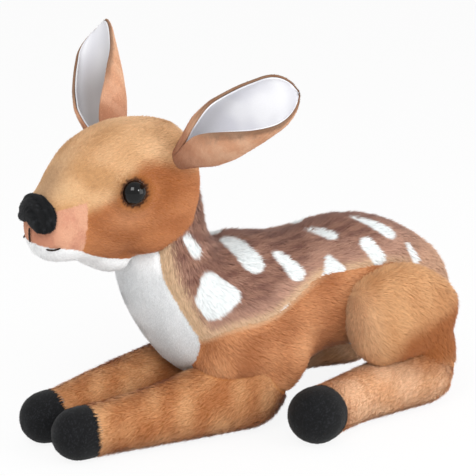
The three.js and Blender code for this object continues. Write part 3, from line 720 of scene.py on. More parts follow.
@dataclass(frozen=True)
class Finish:
    """A finish: what the real material is, and how it meets light."""

    name: str
    roughness: float
    sheen: float = 0.0
    sheen_roughness: float = 0.5
    specular: float = 0.5
    colour: str = ""
    grain: float = 1.5
    grain_share: float = 0.1
    bump: float = 0.0

    def make(self) -> bpy.types.Material:
        """Builds the material, or returns the one made before.

        The colour is the finish's own one, or else the tint attribute, times a fine noise of
        the grain's size. The same noise raises a bump where the finish has one.

        Returns:
            The node material.
        """
        if self.name in bpy.data.materials:
            return bpy.data.materials[self.name]
        material = bpy.data.materials.new(self.name)
        material.use_nodes = True
        tree = material.node_tree
        shader = tree.nodes["Principled BSDF"]
        place = add_node(material, "ShaderNodeTexCoord")
        noise = add_node(
            material, "ShaderNodeTexNoise", {"Scale": 1 / (self.grain * METRES), "Detail": 3.0},
            {"Vector": place.outputs["Object"]},
        )
        level = add_node(
            material, "ShaderNodeMapRange",
            {"To Min": 1 - self.grain_share, "To Max": 1 + self.grain_share},
            {"Value": noise.outputs["Fac"]},
        )
        if self.colour:
            base = add_node(material, "ShaderNodeRGB")
            base.outputs["Color"].default_value = (*linear(self.colour), 1)
        else:
            base = add_node(material, "ShaderNodeAttribute", {"attribute_name": "Tint"})
        scaled = add_node(
            material, "ShaderNodeVectorMath", {"operation": "SCALE"},
            {"Vector": base.outputs["Color"], "Scale": level.outputs["Result"]},
        )
        shader.inputs["Roughness"].default_value = self.roughness
        shader.inputs["Specular IOR Level"].default_value = self.specular
        shader.inputs["Sheen Weight"].default_value = self.sheen
        shader.inputs["Sheen Roughness"].default_value = self.sheen_roughness
        tree.links.new(scaled.outputs["Vector"], shader.inputs["Base Color"])
        if self.bump:
            raised = add_node(
                material, "ShaderNodeBump", {"Strength": self.bump, "Distance": 0.3 * METRES},
                {"Height": noise.outputs["Fac"]},
            )
            tree.links.new(raised.outputs["Normal"], shader.inputs["Normal"])
        return material

    def dress(self, piece: bpy.types.Object) -> None:
        """Puts the finish on a piece."""
        piece.data.materials.clear()
        piece.data.materials.append(self.make())


# Polyester fur cloth: each fibre is matt with a faint sheen, so the pile looks soft.
FUR = Finish("Polyester fur pile, combed", 0.72, sheen=0.12, specular=0.28, grain=2.2)
# Short clipped plush: denser and duller than the long pile, so it looks like velvet.
PLUSH = Finish("Clipped polyester plush", 0.85, sheen=0.15, specular=0.2, grain=1.6)
# Knitted polyester backing: seen only between blades of pile, matt and a little rough.
BACKING = Finish("Knitted polyester backing", 0.95, specular=0.1, grain=0.9, bump=0.5)
# Black clipped plush: takes up nearly all light, with a dusty grey sheen at the rims.
BLACK_PLUSH = Finish("Black clipped plush", 0.9, sheen=0.08, specular=0.2, grain=1.4)
# Woven satin: smooth floats of thread that give broad pearly highlights.
SATIN = Finish(
    "Woven polyester satin", 0.48, sheen=0.35, sheen_roughness=0.35, grain=0.8, grain_share=0.04,
    bump=0.15,
)
# Twisted thread: dull, with a slight rib.
THREAD = Finish(
    "Twisted polyester thread", 0.7, specular=0.3, colour="#241812", grain=0.5, grain_share=0.35
)
# Polished acrylic: a hard mirror gloss that carries the lamps.
EYE = Finish(
    "Polished black acrylic", 0.05, specular=0.3, colour="#070707", grain=6, grain_share=0.2
)
# Moulded polythene washer: natural milky white and slightly waxy.
WASHER = Finish(
    "Moulded natural polythene", 0.45, colour="#e4e3de", grain=3, grain_share=0.05
)


@dataclass(frozen=True)
class Panel:
    """One sewn panel of fur cloth: where it lies, how its pile stands and its colours.

    covers takes places and normals and marks the panel's own. flow gives the combing
    direction at places, and reach the share of the pile's length.
    """

    name: str
    slot: str
    nodes: tuple[str, ...]
    pile: Pile
    density: float
    covers: Callable[[np.ndarray, np.ndarray], np.ndarray]
    tint: Tinter
    flow: Flow
    finish: Finish = FUR
    reach: Flow | None = None


Holder = Callable[[bpy.types.Object], None]


def rides(body: str) -> Holder:
    """A holder that makes a piece ride on one body."""
    return lambda piece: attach(piece, body)


def bends(child: str, start: Sequence[float], end: Sequence[float]) -> Holder:
    """A holder that bakes a piece's transform into its mesh, and does not bend it.

    Args:
        child: Not used.
        start: First point of the bend in millimetres.
        end: Last point of the bend in millimetres.
    """
    first, last = (tuple(float(value) * METRES for value in point) for point in (start, end))
    return lambda piece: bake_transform(piece)


def fit_out(
    piece: bpy.types.Object,
    finish: Finish,
    hold: Holder,
    slot: str,
    nodes: Sequence[str] | None = None,
) -> None:
    """Gives a piece what the frame and the eye need.

    Args:
        piece: The piece, with its final mesh.
        finish: Its finish.
        hold: Ties it to its body, or only bakes its transform.
        slot: The record's material slot; not used.
        nodes: CAD nodes that it stands for.
    """
    finish.dress(piece)
    hold(piece)
    if nodes is not None:
        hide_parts(*nodes)


@dataclass
class Plush:
    """A stuffed sub-assembly: one filled skin, planted with panels of pile."""

    skin_name: str
    nodes: tuple[str, ...]
    forms: list[Form]
    panels: list[Panel]
    hold: Holder
    inset: float
    voxel: float
    seed: int
    seams: Sequence[np.ndarray] = ()
    clear_of: Sequence[Form] = ()
    lift: Flow | None = None
    slot: str = "fill"

    def build(self) -> bpy.types.Object:
        """Makes the skin and its panels.

        A seam is a groove: a corner moves in along its normal by the groove's depth times a
        bell curve of its distance from the seam line.

        Returns:
            The skin.
        """
        skin = stuffed_skin(self.skin_name, self.forms, self.inset, self.voxel)
        points, normals = corners(skin.data), corner_normals(skin.data)
        side_on = np.abs(normals[:, 1]) > 0.15
        for seam in self.seams:
            bell = np.exp(-((seam_distance(points, seam) / GROOVE_WIDTH) ** 2)) * side_on
            points = points - normals * (GROOVE_DEPTH * bell)[:, None]
        if self.lift:
            points = points + normals * self.lift(points)[:, None]
        set_corners(skin.data, points)
        self.tint_skin(skin.data, points, normals)
        fit_out(skin, BACKING, self.hold, self.slot, self.nodes)
        densest = max(panel.density for panel in self.panels)
        places = scatter_on(skin.data, densest, self.seed)
        hidden = np.zeros(len(places.points), bool)
        for form in self.clear_of:
            hidden |= form.holds(places.points, HIDDEN_SHARE)
        places = places.where(~hidden)
        for number, panel in enumerate(self.panels):
            self.plant(panel, places, densest, self.seed * 100 + number)
        return skin

    def tint_skin(self, mesh: bpy.types.Mesh, points: np.ndarray, normals: np.ndarray) -> None:
        """Colours the backing as the pile over it, a little darker as painted shade between the
        blades.
        """
        rng = np.random.default_rng(self.seed)
        colours = np.full((len(points), 3), 0.2)
        for panel in self.panels:
            own = panel.covers(points, normals)
            if own.any():
                colours[own] = panel.tint(points[own], rng)
        # The backing is painted darker than its pile: painted shade between the blades.
        set_tint(mesh, colours * BACKING_PAINTED_SHADE)

    def plant(self, panel: Panel, places: Scatter, densest: float, seed: int) -> None:
        """Plants one panel's pile.

        Args:
            panel: The panel.
            places: Places all over the skin, in random order.
            densest: Places a square millimetre that the scatter has.
            seed: Seed of the blades.
        """
        own = places.where(panel.covers(places.points, places.normals))
        own = own.where(slice(int(len(own.points) * panel.density / densest)))
        reach = panel.reach(own.points) if panel.reach else None
        piece = plant_pile(
            panel.name, own, panel.flow(own.points), panel.pile, panel.tint, seed, reach
        )
        fit_out(piece, panel.finish, self.hold, panel.slot, panel.nodes)
        log.info("%s: %d blades", panel.name, len(own.points))


def body_shares(points: np.ndarray) -> tuple[np.ndarray, np.ndarray]:
    """Places along the body and up it, as shares of its length and height."""
    return (points[:, 0] - NECK_X) / BODY_LENGTH, points[:, 2] / BACK_HEIGHT


def body_line(shares: Sequence[Sequence[float]]) -> np.ndarray:
    """A seam's X and Z in millimetres, smoothed, from shares of the body's size."""
    along, high = np.array(shares).T
    corners_mm = np.c_[NECK_X + along * BODY_LENGTH, high * BACK_HEIGHT]
    return spline(corners_mm, np.linspace(0, 1, 50))


CHEST_SEAM = body_line(
    [(-0.09, 1.5), (-0.09, 0.98), (-0.08, 0.865), (-0.048, 0.745), (-0.007, 0.62),
     (0.022, 0.54), (0.03, 0.4), (0.03, -0.1)]
)
BACK_SEAM = body_line(
    [(0.022, 0.54), (0.1, 0.595), (0.24, 0.63), (0.33, 0.71), (0.42, 0.775), (0.5, 0.78),
     (0.67, 0.78), (0.8, 0.72), (0.9, 0.56), (0.96, 0.34)]
)


@dataclass(frozen=True)
class Streak:
    """A long white spot: a line from one end to the other with a radius at each.

    X counts from the neck's axis, Y from the middle of the toy and Z from the ground.
    """

    start: tuple[float, float, float]
    end: tuple[float, float, float]
    radii: tuple[float, float]

    def depth(self, points: np.ndarray) -> np.ndarray:
        """How far points lie inside the spot on either side of the toy, in millimetres."""
        own = np.c_[points[:, 0] - NECK_X, -np.abs(points[:, 1] - MIDDLE_Y), points[:, 2]]
        start, step = np.array(self.start), np.subtract(self.end, self.start)
        share = np.clip((own - start) @ step / (step @ step), 0, 1)
        radius = self.radii[0] + (self.radii[1] - self.radii[0]) * share
        return radius - np.linalg.norm(own - start - share[:, None] * step, axis=1)


@dataclass(frozen=True)
class Patch:
    """A white spot with rounded corners, as a convex outline in side view.

    X counts from the neck's axis and Z from the ground. Corners run clockwise as seen from
    the toy's left.
    """

    outline: tuple[tuple[float, float], ...]
    rounding: float
    least_side: float

    def depth(self, points: np.ndarray) -> np.ndarray:
        """How far points lie inside the spot, in millimetres."""
        flat = np.c_[points[:, 0] - NECK_X, points[:, 2]]
        ring = np.array([*self.outline, self.outline[0]])
        step = np.diff(ring, axis=0)
        normal = np.c_[step[:, 1], -step[:, 0]]
        inside = ((flat[:, None] - ring[:-1]) * normal).sum(-1).min(axis=1)
        gap = line_distance(flat, ring)
        side_on = np.abs(points[:, 1] - MIDDLE_Y) - self.least_side
        return np.minimum(np.where(inside > 0, gap, -gap) + self.rounding, side_on)


SPOTS: tuple[Streak | Patch, ...] = (
    Streak((-2.3, -31.4, 131.6), (2.9, -32.6, 124.0), (3.4, 4.6)),
    Streak((36.8, -9.0, 125.0), (43.4, -31.0, 112.0), (6.0, 8.2)),
    Streak((64.2, -27.6, 112.4), (71.0, -36.0, 101.9), (4.4, 6.0)),
    Streak((98.6, -10.8, 123.4), (107.0, -21.0, 118.6), (5.2, 4.8)),
    Streak((133.4, -9.0, 125.0), (150.0, -23.0, 115.6), (3.8, 6.8)),
    Streak((128.6, -31.0, 110.6), (133.4, -37.2, 102.4), (5.9, 5.8)),
    Streak((163.7, -29.0, 103.9), (166.4, -34.0, 96.0), (3.6, 4.3)),
    Streak((58.1, -43.3, 79.2), (62.0, -43.1, 81.0), (2.8, 3.0)),
    Streak((22.0, -10.0, 150.0), (23.0, -12.0, 144.0), (4.0, 3.6)),
    Patch(((7.6, 105.6), (10.6, 105.4), (23.2, 95.0), (17.6, 91.0), (11.4, 86.8), (8.8, 86.8),
           (3.6, 95.0)), 5.0, 18.0),
    Patch(((97.4, 104.6), (104.2, 97.5), (93.0, 97.0)), 3.2, 15.0),
)

BACK_DARK, BACK_BROWN, BACK_TIP = linear("#80574b"), linear("#a07663"), linear("#cba08a")
CREAM, SPOT_WHITE = linear("#e3c29c"), linear("#f6fafa")
ORANGE_DARK, ORANGE, ORANGE_LIGHT = linear("#ab6a40"), linear("#cf8f60"), linear("#e3af80")
# The white plush's grey as in shade: used for soft patches, and as painted shade near the ground.
CHEST_WHITE, CHEST_GREY_AND_PAINTED_SHADE = linear("#eeeff0"), linear("#cfd1d2")


def stretched(points: np.ndarray, amount: float = 0.35) -> np.ndarray:
    """Places squeezed along X, so that noise over them forms streaks along the body."""
    return points * np.array([amount, 1.0, 1.0])


def back_tint(points: np.ndarray, rng: np.random.Generator) -> np.ndarray:
    """Brown back: dark and light streaks, cream at the seams, and white spots.

    Args:
        points: Places in millimetres.
        rng: Source of the fibres' differences.

    Returns:
        Linear colours.
    """
    along, high = body_shares(points)
    streak = mottle(stretched(points), 5.0, 31, rng, 0.5)
    colour = mix(BACK_DARK, BACK_BROWN, smooth(-1.3, 0.9, streak))
    patch = mottle(stretched(points, 0.5), 17.0, 32, rng)
    colour = mix(colour, BACK_TIP, 0.6 * smooth(0.0, 1.6, patch))
    ridge = smooth(12, 2, np.abs(points[:, 1] - MIDDLE_Y)) * smooth(0.75, 0.95, high)
    colour = mix(colour, BACK_DARK, 0.45 * ridge)
    rear = smooth(0.5, 0.75, along) * smooth(0.98, 0.85, high) * smooth(0.6, 0.75, high)
    colour = mix(colour, BACK_TIP, 0.45 * rear)
    rump = smooth(0.93, 0.7, high) * smooth(0.62, 0.85, along)
    colour = mix(colour, "#dcb08c", 0.5 * rump)
    jitter = rng.normal(0, 0.8, len(points))
    chest_edge = seam_distance(points, CHEST_SEAM) + jitter * 1.5
    back_edge = seam_distance(points, BACK_SEAM) + jitter
    front = smooth(10, 2.5, chest_edge) * smooth(1.15, 1.0, high)
    low = smooth(6.5, 1.5, back_edge) * smooth(0.9, 0.6, along)
    colour = mix(colour, BACK_TIP, 0.6 * smooth(17, 6, back_edge) * smooth(0.9, 0.6, along))
    colour = mix(colour, CREAM, 0.85 * np.maximum(front, 0.85 * low))
    depth = np.max([spot.depth(points) for spot in SPOTS], axis=0)
    return mix(colour, SPOT_WHITE, smooth(-0.7, 0.5, depth + 0.2 * jitter))


def flank_tint(points: np.ndarray, rng: np.random.Generator) -> np.ndarray:
    """Orange flank: darker patches as painted shade of folds, a band of painted shade just before
    the thigh, and paler at the back seam.
    """
    along, _ = body_shares(points)
    # Noise whose darker patches are painted shade of folds, with lighter patches between.
    fold = mottle(points, 26.0, 41, rng, 0.4)
    colour = mix(ORANGE_DARK, ORANGE, smooth(-1.4, 0.6, fold))
    colour = mix(colour, ORANGE_LIGHT, 0.35 * smooth(0.2, 1.6, fold))
    # Painted shade in a band of the flank just before the thigh.
    colour = mix(colour, ORANGE_DARK, 0.5 * smooth(0.34, 0.44, along) * smooth(0.62, 0.4, along))
    edge = smooth(4.0, 0.8, seam_distance(points, BACK_SEAM)) * smooth(0.5, 0.3, along)
    return mix(colour, CREAM, 0.55 * edge)


def white_tint(points: np.ndarray, rng: np.random.Generator) -> np.ndarray:
    """Cool white plush: greyer in soft patches, greyer near the ground as painted shade, and pure
    white on top as painted light.
    """
    patch = mottle(points, 30.0, 51, rng, 0.3)
    # Greyer towards the ground: painted shade.
    share = 0.5 * smooth(-0.8, 1.2, patch) + 0.5 * smooth(60, 110, points[:, 2])
    colour = mix(CHEST_GREY_AND_PAINTED_SHADE, CHEST_WHITE, share)
    # Painted light: the chin and the top of the white plush turn pure white.
    return mix(colour, "#ffffff", 0.8 * smooth(106, 120, points[:, 2]))


def trunk_form() -> Form:
    """The trunk's form, from the top of the neck to the rump.

    Rows are place along the body, height, half depth and half width, as shares.
    """
    shares = np.array(
        [(-0.02, 1.36, 0.19, 0.27), (-0.03, 1.2, 0.22, 0.32), (-0.028, 1.0, 0.25, 0.38),
         (0.02, 0.79, 0.3, 0.44), (0.14, 0.64, 0.4, 0.49), (0.31, 0.58, 0.41, 0.5),
         (0.47, 0.62, 0.36, 0.49), (0.64, 0.63, 0.37, 0.48), (0.79, 0.52, 0.36, 0.46),
         (0.91, 0.41, 0.3, 0.4), (0.985, 0.34, 0.24, 0.3)]
    )
    x, z, half_up, half_side = shares.T
    middle = np.full(len(x), MIDDLE_Y)
    rows = np.c_[NECK_X + x * BODY_LENGTH, middle, z * BACK_HEIGHT]
    return Form(np.c_[rows, half_up * BACK_HEIGHT, half_side * BODY_WIDTH], (12.0, 34.0))


def shoulder_form(side: Side) -> Form:
    """One shoulder, which swells over the upper foreleg."""
    t = np.array([0, 0.5, 1])
    x = NECK_X + (0.16 + 0.02 * t) * BODY_LENGTH
    y = MIDDLE_Y + side.value * BODY_WIDTH * (0.26 + 0.05 * t)
    z = (0.66 - 0.38 * t) * BACK_HEIGHT
    sizes = np.tile([31.0, 0.24 * BODY_WIDTH], (3, 1))
    return Form(np.c_[x, y, z, sizes], (12.0, 12.0))


def arm_form(side: Side) -> Form:
    """One upper foreleg, from the shoulder down to the elbow."""
    rows = np.array(
        [(32, 27, 88, 24, 15), (54, 29, 68, 26, 16), (61, 29, 48, 26, 17), (48, 28, 30, 20, 16),
         (37, 26, 15, 17, 15)], float
    )
    rows[:, 0] += NECK_X
    rows[:, 1] = MIDDLE_Y + side.value * rows[:, 1]
    return Form(rows, (12.0, 13.0))


def trunk_forms() -> list[Form]:
    """All forms that the trunk's skin joins."""
    pairs = [(shoulder_form(side), arm_form(side)) for side in Side]
    return [trunk_form(), *(form for pair in pairs for form in pair)]


@dataclass
class Trunk:
    """The trunk: neck, back, chest, belly and flanks."""

    inset: float = 1.9
    voxel: float = 5.0
    belly_width: float = 34.0
    belly_end: float = 0.86

    def in_front(self, points: np.ndarray) -> np.ndarray:
        """Marks places in front of the chest seam."""
        line = CHEST_SEAM[::-1]
        return points[:, 0] < np.interp(points[:, 2], line[:, 1], line[:, 0])

    def above_seam(self, points: np.ndarray) -> np.ndarray:
        """Marks places above the back seam, and behind its end."""
        high = np.interp(points[:, 0], BACK_SEAM[:, 0], BACK_SEAM[:, 1])
        return (points[:, 2] > high) | (points[:, 0] > BACK_SEAM[-1, 0])

    def on_belly(self, points: np.ndarray, _: np.ndarray) -> np.ndarray:
        """Marks places on the belly panel, in the lower half of the trunk's sections."""
        place = trunk_form().locate(points)
        middle = np.abs(points[:, 1] - MIDDLE_Y) < self.belly_width / 2
        low = (place.over < -0.5) & (place.share < self.belly_end)
        return middle & low & ~self.in_front(points)

    def flow(self, points: np.ndarray) -> np.ndarray:
        """Pile lies from the head to the rump, and hangs a little."""
        return trunk_form().locate(points).tangent - 0.45 * UP

    def chest_flow(self, points: np.ndarray) -> np.ndarray:
        """Chest pile lies down the front."""
        return np.tile(-UP, (len(points), 1))

    def back_reach(self, points: np.ndarray) -> np.ndarray:
        """Pile is clipped shorter at the seams, which draws them as soft grooves."""
        edge = np.minimum(seam_distance(points, CHEST_SEAM), seam_distance(points, BACK_SEAM))
        return 0.62 + 0.38 * smooth(0.5, 5.0, edge)

    def on_chest(self, points: np.ndarray, _: np.ndarray) -> np.ndarray:
        """Marks places on the chest panel."""
        return self.in_front(points)

    def on_back(self, points: np.ndarray, normals: np.ndarray) -> np.ndarray:
        """Marks places on the back panel."""
        rest = self.above_seam(points) & ~self.in_front(points)
        return rest & ~self.on_belly(points, normals)

    def flank(self, side: Side) -> Panel:
        """The flank panel of one side."""

        def covers(points: np.ndarray, normals: np.ndarray) -> np.ndarray:
            """Below the back seam, behind the chest seam and beside the belly."""
            own = (points[:, 1] - MIDDLE_Y) * side.value > 0
            rest = ~self.in_front(points) & ~self.above_seam(points)
            return own & rest & ~self.on_belly(points, normals)

        return Panel(
            f"flank_pile_{side.word}", "orange_pile", (f"flank_cover_{side.word}",), BODY_PILE, 2.3,
            covers, flank_tint, self.flow, reach=self.back_reach,
        )

    def build(self, clear_of: list[Form]) -> None:
        """Builds the trunk.

        Args:
            clear_of: Forms that hide the trunk's pile.
        """
        panels = [
            Panel(
                "back_pile", "back_pile", ("back_cover",), LONG_PILE, 1.75, self.on_back,
                back_tint, self.flow, reach=self.back_reach,
            ),
            Panel(
                "chest_plush", "white_plush", ("chest_cover",), SHORT_PILE, 3.6, self.on_chest,
                white_tint, self.chest_flow, PLUSH,
            ),
            Panel(
                "belly_plush", "white_plush", ("belly_cover",), SHORT_PILE, 2.4, self.on_belly,
                white_tint, self.flow, PLUSH,
            ),
            *(self.flank(side) for side in Side),
        ]
        Plush(
            "trunk_skin", ("torso_stuffing",), trunk_forms(), panels, rides("trunk"), self.inset,
            self.voxel, 3, (CHEST_SEAM, BACK_SEAM), clear_of,
        ).build()


def black_tint(points: np.ndarray, rng: np.random.Generator) -> np.ndarray:
    """Black plush with a few greyer fibres."""
    return mix("#161719", "#3a3c40", 0.7 * smooth(0.2, 2.2, rng.normal(size=len(points))))


def cover_in_black(
    skin: bpy.types.Object,
    pile_name: str,
    node: str,
    body: str,
    density: float,
    flow: Flow,
    seed: int,
) -> None:
    """Covers a hoof or the nose with short black plush.

    Args:
        skin: The closed skin.
        pile_name: Name of the plush.
        node: CAD node that the two stand for.
        body: Body that they ride on.
        density: Blades a square millimetre.
        flow: Gives the combing direction at places.
        seed: Seed of the colours, with the scatter's and the blades' seeds from it.
    """
    rng = np.random.default_rng(seed)
    # The pad is painted a little darker than its plush: painted shade between the blades.
    set_tint(skin.data, black_tint(corners(skin.data), rng) * PAD_PAINTED_SHADE)
    fit_out(skin, BLACK_PLUSH, rides(body), "black_plush", (node,))
    places = scatter_on(skin.data, density, 10 * seed + 11)
    pile = plant_pile(
        pile_name, places, flow(places.points), VELVET_PILE, black_tint, 10 * seed + 12
    )
    fit_out(pile, BLACK_PLUSH, rides(body), "black_plush")
    log.info("%s: %d blades", pile_name, len(places.points))


# How far a hoof reaches under the leg's fur, and its skin's inset, grain and longest swelling,
# in millimetres.
HOOF_UNDERLAP, HOOF_INSET, HOOF_VOXEL, HOOF_SWELLING = 5.0, 0.9, 3.0, 0.8


def build_hoof(word: str, form: Form, length: float, body: str) -> None:
    """Makes a hoof from its leg's own last sections, rounded in behind.

    Args:
        word: The hoof's word in piece names.
        form: The leg's form.
        length: The hoof's length in millimetres.
        body: Body that it rides on.
    """
    along = np.linspace(form.length - length - HOOF_UNDERLAP, form.length, 40)
    centre, _, _, _, half_up, half_side = form.sections(along)
    rows = np.c_[centre, half_up, half_side]
    cap = Form(np.vstack([rows[::4], rows[-1:]]), (6.0, form.domes[1]))
    skin = stuffed_skin(f"hoof_skin_{word}", [cap], HOOF_INSET, HOOF_VOXEL, HOOF_SWELLING)
    cover_in_black(
        skin, f"hoof_plush_{word}", f"hoof_{word}", body, 3.4,
        lambda places: form.locate(places).tangent, 1,
    )


@dataclass
class Limb:
    """A limb on one side of the toy: orange fur over its own filling."""

    side: Side
    part: str = ""
    seed: int = 0
    droop: float = 0.0
    inset: float = 1.7
    voxel: float = 4.0

    def form(self) -> Form:
        """The limb's form, from its rear or upper end."""
        raise NotImplementedError

    def forms(self) -> list[Form]:
        """All forms that the limb's skin joins."""
        return [self.form()]

    def tint(self, points: np.ndarray, rng: np.random.Generator) -> np.ndarray:
        """Orange fur with soft rust and light patches, and painted shade near the ground."""
        patch = mottle(points, 24.0, 61, rng)
        colour = mix("#bc7745", "#d29663", smooth(-1.3, 0.5, patch))
        colour = mix(colour, "#eab986", 0.6 * smooth(0.1, 1.6, patch))
        # Painted shade near the ground.
        return mix(colour, "#a8683c", 0.5 * smooth(12, 2, points[:, 2]))

    def covers(self, points: np.ndarray, _: np.ndarray) -> np.ndarray:
        """Marks places under the fur: the whole limb."""
        return np.ones(len(points), bool)

    def flow(self, points: np.ndarray) -> np.ndarray:
        """Pile lies along the limb and hangs a little."""
        return self.form().locate(points).tangent - self.droop * UP

    def hold(self) -> Holder:
        """What the limb is tied to."""
        return rides("trunk")

    def build(self, clear_of: list[Form]) -> None:
        """Builds the limb.

        Args:
            clear_of: Forms that hide the limb's pile.
        """
        word = self.side.word
        panel = Panel(
            f"{self.part}_pile_{word}", "orange_pile", (f"{self.part}_cover_{word}",), BODY_PILE,
            2.5, self.covers, self.tint, self.flow,
        )
        Plush(
            f"{self.part}_skin_{word}", (f"{self.part}_stuffing_{word}",), self.forms(), [panel],
            self.hold(), self.inset, self.voxel, self.seed + self.side.value, clear_of=clear_of,
        ).build()


@dataclass
class Leg(Limb):
    """A limb that turns at its joint and ends in a hoof."""

    motion: str = ""
    bend: tuple[float, float] = (0.0, 0.0)
    length: float = 0.0
    hoof: float = 0.0
    hoof_word: str = ""

    @property
    def body(self) -> str:
        """The body that the leg moves with."""
        return f"{self.part}_{self.side.word}"

    @property
    def joint(self) -> np.ndarray:
        """Where the leg turns, in millimetres."""
        return JOINTS[f"{self.body}_{self.motion}"]

    def covers(self, points: np.ndarray, _: np.ndarray) -> np.ndarray:
        """Marks places before the hoof."""
        form = self.form()
        return form.locate(points).share < 1 - self.hoof / form.length

    def hold(self) -> Holder:
        """A holder from bends between the trunk and the leg's own body, which only bakes the
        transform.
        """
        behind, before = self.bend
        return bends(self.body, self.joint + [behind, 0, 0], self.joint - [before, 0, 0])

    def build(self, clear_of: list[Form]) -> None:
        """Builds the leg and its hoof.

        Args:
            clear_of: Forms that hide the leg's pile.
        """
        super().build(clear_of)
        build_hoof(f"{self.hoof_word}_{self.side.word}", self.form(), self.hoof, self.body)


@dataclass
class Foreleg(Leg):
    """One foreleg, from the elbow to the hoof."""

    part: str = "foreleg"
    seed: int = 5
    droop: float = 0.15
    motion: str = "lift"
    bend: tuple[float, float] = (14.0, 26.0)
    length: float = 160.0
    hoof: float = 28.0
    hoof_word: str = "front"
    elbow_height: float = 29.0
    dome: float = 27.0

    def form(self) -> Form:
        """The foreleg's form, from the elbow. The right one is raised a little midway.

        Rows are place along, place across, height, half width and share of the rise.
        """
        shares = np.array(
            [(0, 0, 1, 0.74, 0), (0.2, 0.2, 0.84, 0.72, 0.5), (0.42, 0.55, 0.7, 0.66, 1),
             (0.64, 0.85, 0.62, 0.6, 0.7), (0.82, 1, 0.59, 0.58, 0), (1, 1, 0.59, 0.57, 0)]
        )
        lifted = 6.0 if self.side is Side.RIGHT else 0.0
        along, over, high, wide, rise = shares.T
        x = self.joint[0] - along * (self.length + lifted - self.dome)
        y = MIDDLE_Y + self.side.value * (25.0 + (17.5 - 25.0) * over)
        high, wide = high * self.elbow_height, wide * self.elbow_height
        rows = np.c_[x, y, high + rise * lifted, high + 0.5, wide]
        rows = np.vstack([rows[0] + [self.dome, 0, 0, 0, 0], rows])
        return Form(rows, (self.dome, rows[-1, 3]))


@dataclass
class Thigh(Limb):
    """One thigh, sewn to the flank."""

    part: str = "thigh"
    seed: int = 8

    def form(self) -> Form:
        """The thigh's form, from the knee to the rump.

        Rows are place along, place across, height, half height and half width.
        """
        shares = np.array(
            [(0, 1.08, 0.94, 0.36, 0.38), (0.25, 1.06, 1, 0.47, 0.48), (0.52, 1, 1.02, 0.51, 0.5),
             (0.8, 0.93, 0.89, 0.46, 0.46), (1, 0.86, 0.71, 0.37, 0.36)]
        )
        rows = shares * [79.0, self.side.value * 45.0, 64.0, 70.0, 42.0]
        rows[:, 0] += NECK_X + 0.49 * BODY_LENGTH
        rows[:, 1] += MIDDLE_Y
        return Form(rows, (13.0, 13.0))

    def haunch(self) -> Form:
        """The rear of the thigh, which comes down to the hock."""
        x = NECK_X + np.array([162.0, 167.5, 168.5])
        y = MIDDLE_Y + self.side.value * np.array([41.0, 43.0, 44.0])
        sizes = [[23.0, 17.0], [23.0, 18.0], [23.0, 18.0]]
        return Form(np.c_[x, y, [65.0, 40.0, 8.0], sizes], (10.0, 12.0))

    def forms(self) -> list[Form]:
        """The thigh proper and its rear."""
        return [self.form(), self.haunch()]

    def tint(self, points: np.ndarray, rng: np.random.Generator) -> np.ndarray:
        """Tan thigh: painted shade in a rust tone in the crease over the lower leg, and painted
        light at its front edge.
        """
        place = self.form().locate(points)
        patch = mottle(points, 22.0, 71, rng)
        colour = mix("#c99160", "#d8a574", smooth(-1.2, 0.8, patch))
        # Painted shade in the crease where the thigh lies over the lower leg.
        under = 50 + 28 * place.share + 2.5 * patch - points[:, 2]
        painted_crease_shade = smooth(0.16, 0.4, place.share) * smooth(-6, 12, under)
        painted_crease_shade *= smooth(14, 40, points[:, 2] + 14 * smooth(0.95, 0.6, place.share))
        colour = mix(colour, "#9c5724", 0.92 * painted_crease_shade)
        # Painted light: the thigh's front edge is paler.
        return mix(colour, "#f0c49c", 0.5 * smooth(0.25, 0.02, place.share))

    def flow(self, points: np.ndarray) -> np.ndarray:
        """Pile lies towards the rump and down."""
        return self.form().locate(points).tangent * 0.7 - 0.7 * UP


@dataclass
class Shank(Leg):
    """One lower hind leg, from the hock to the hoof."""

    part: str = "shank"
    seed: int = 12
    droop: float = 0.1
    motion: str = "swing"
    bend: tuple[float, float] = (10.0, 24.0)
    length: float = 137.0
    hoof: float = 31.0
    hoof_word: str = "hind"
    splay: float = 30.0
    hock_height: float = 23.0
    dome: float = 22.0

    def form(self) -> Form:
        """The lower leg's form, from the hock.

        Rows are place along, share of the splay, height and half width.
        """
        shares = np.array(
            [(0, 0, 1, 0.88), (0.25, 0.12, 0.88, 0.78), (0.5, 0.22, 0.78, 0.74),
             (0.7, 0.42, 0.74, 0.74), (0.87, 0.76, 0.8, 0.84), (1, 1.04, 0.84, 0.88)]
        )
        along, out, high, wide = shares.T
        x = self.joint[0] - along * (self.length - self.dome)
        y = self.joint[1] + self.side.value * out * self.splay
        high, wide = high * self.hock_height, wide * self.hock_height
        rows = np.c_[x, y, high, high + 0.5, wide]
        rows = np.vstack([rows[0] + [self.dome, 0, 0, 0, 0], rows])
        return Form(rows, (self.dome, rows[-1, 3]))

    def tint(self, points: np.ndarray, rng: np.random.Generator) -> np.ndarray:
        """Tan lower leg: painted shade in a rust tone at the hock, paler towards the hoof, and
        painted shade near the ground.
        """
        place = self.form().locate(points)
        patch = mottle(points, 22.0, 81, rng)
        colour = mix("#e8b486", "#f6cca4", smooth(-1.2, 0.8, patch))
        # Painted shade in the crease at the hock, under the thigh.
        painted_hock_shade = smooth(0.55, 0.2, place.share) * smooth(20, 38, points[:, 2])
        colour = mix(colour, "#a8632f", 0.85 * painted_hock_shade)
        # Painted shade near the ground.
        return mix(colour, "#b87b4e", 0.4 * smooth(10, 2, points[:, 2]))


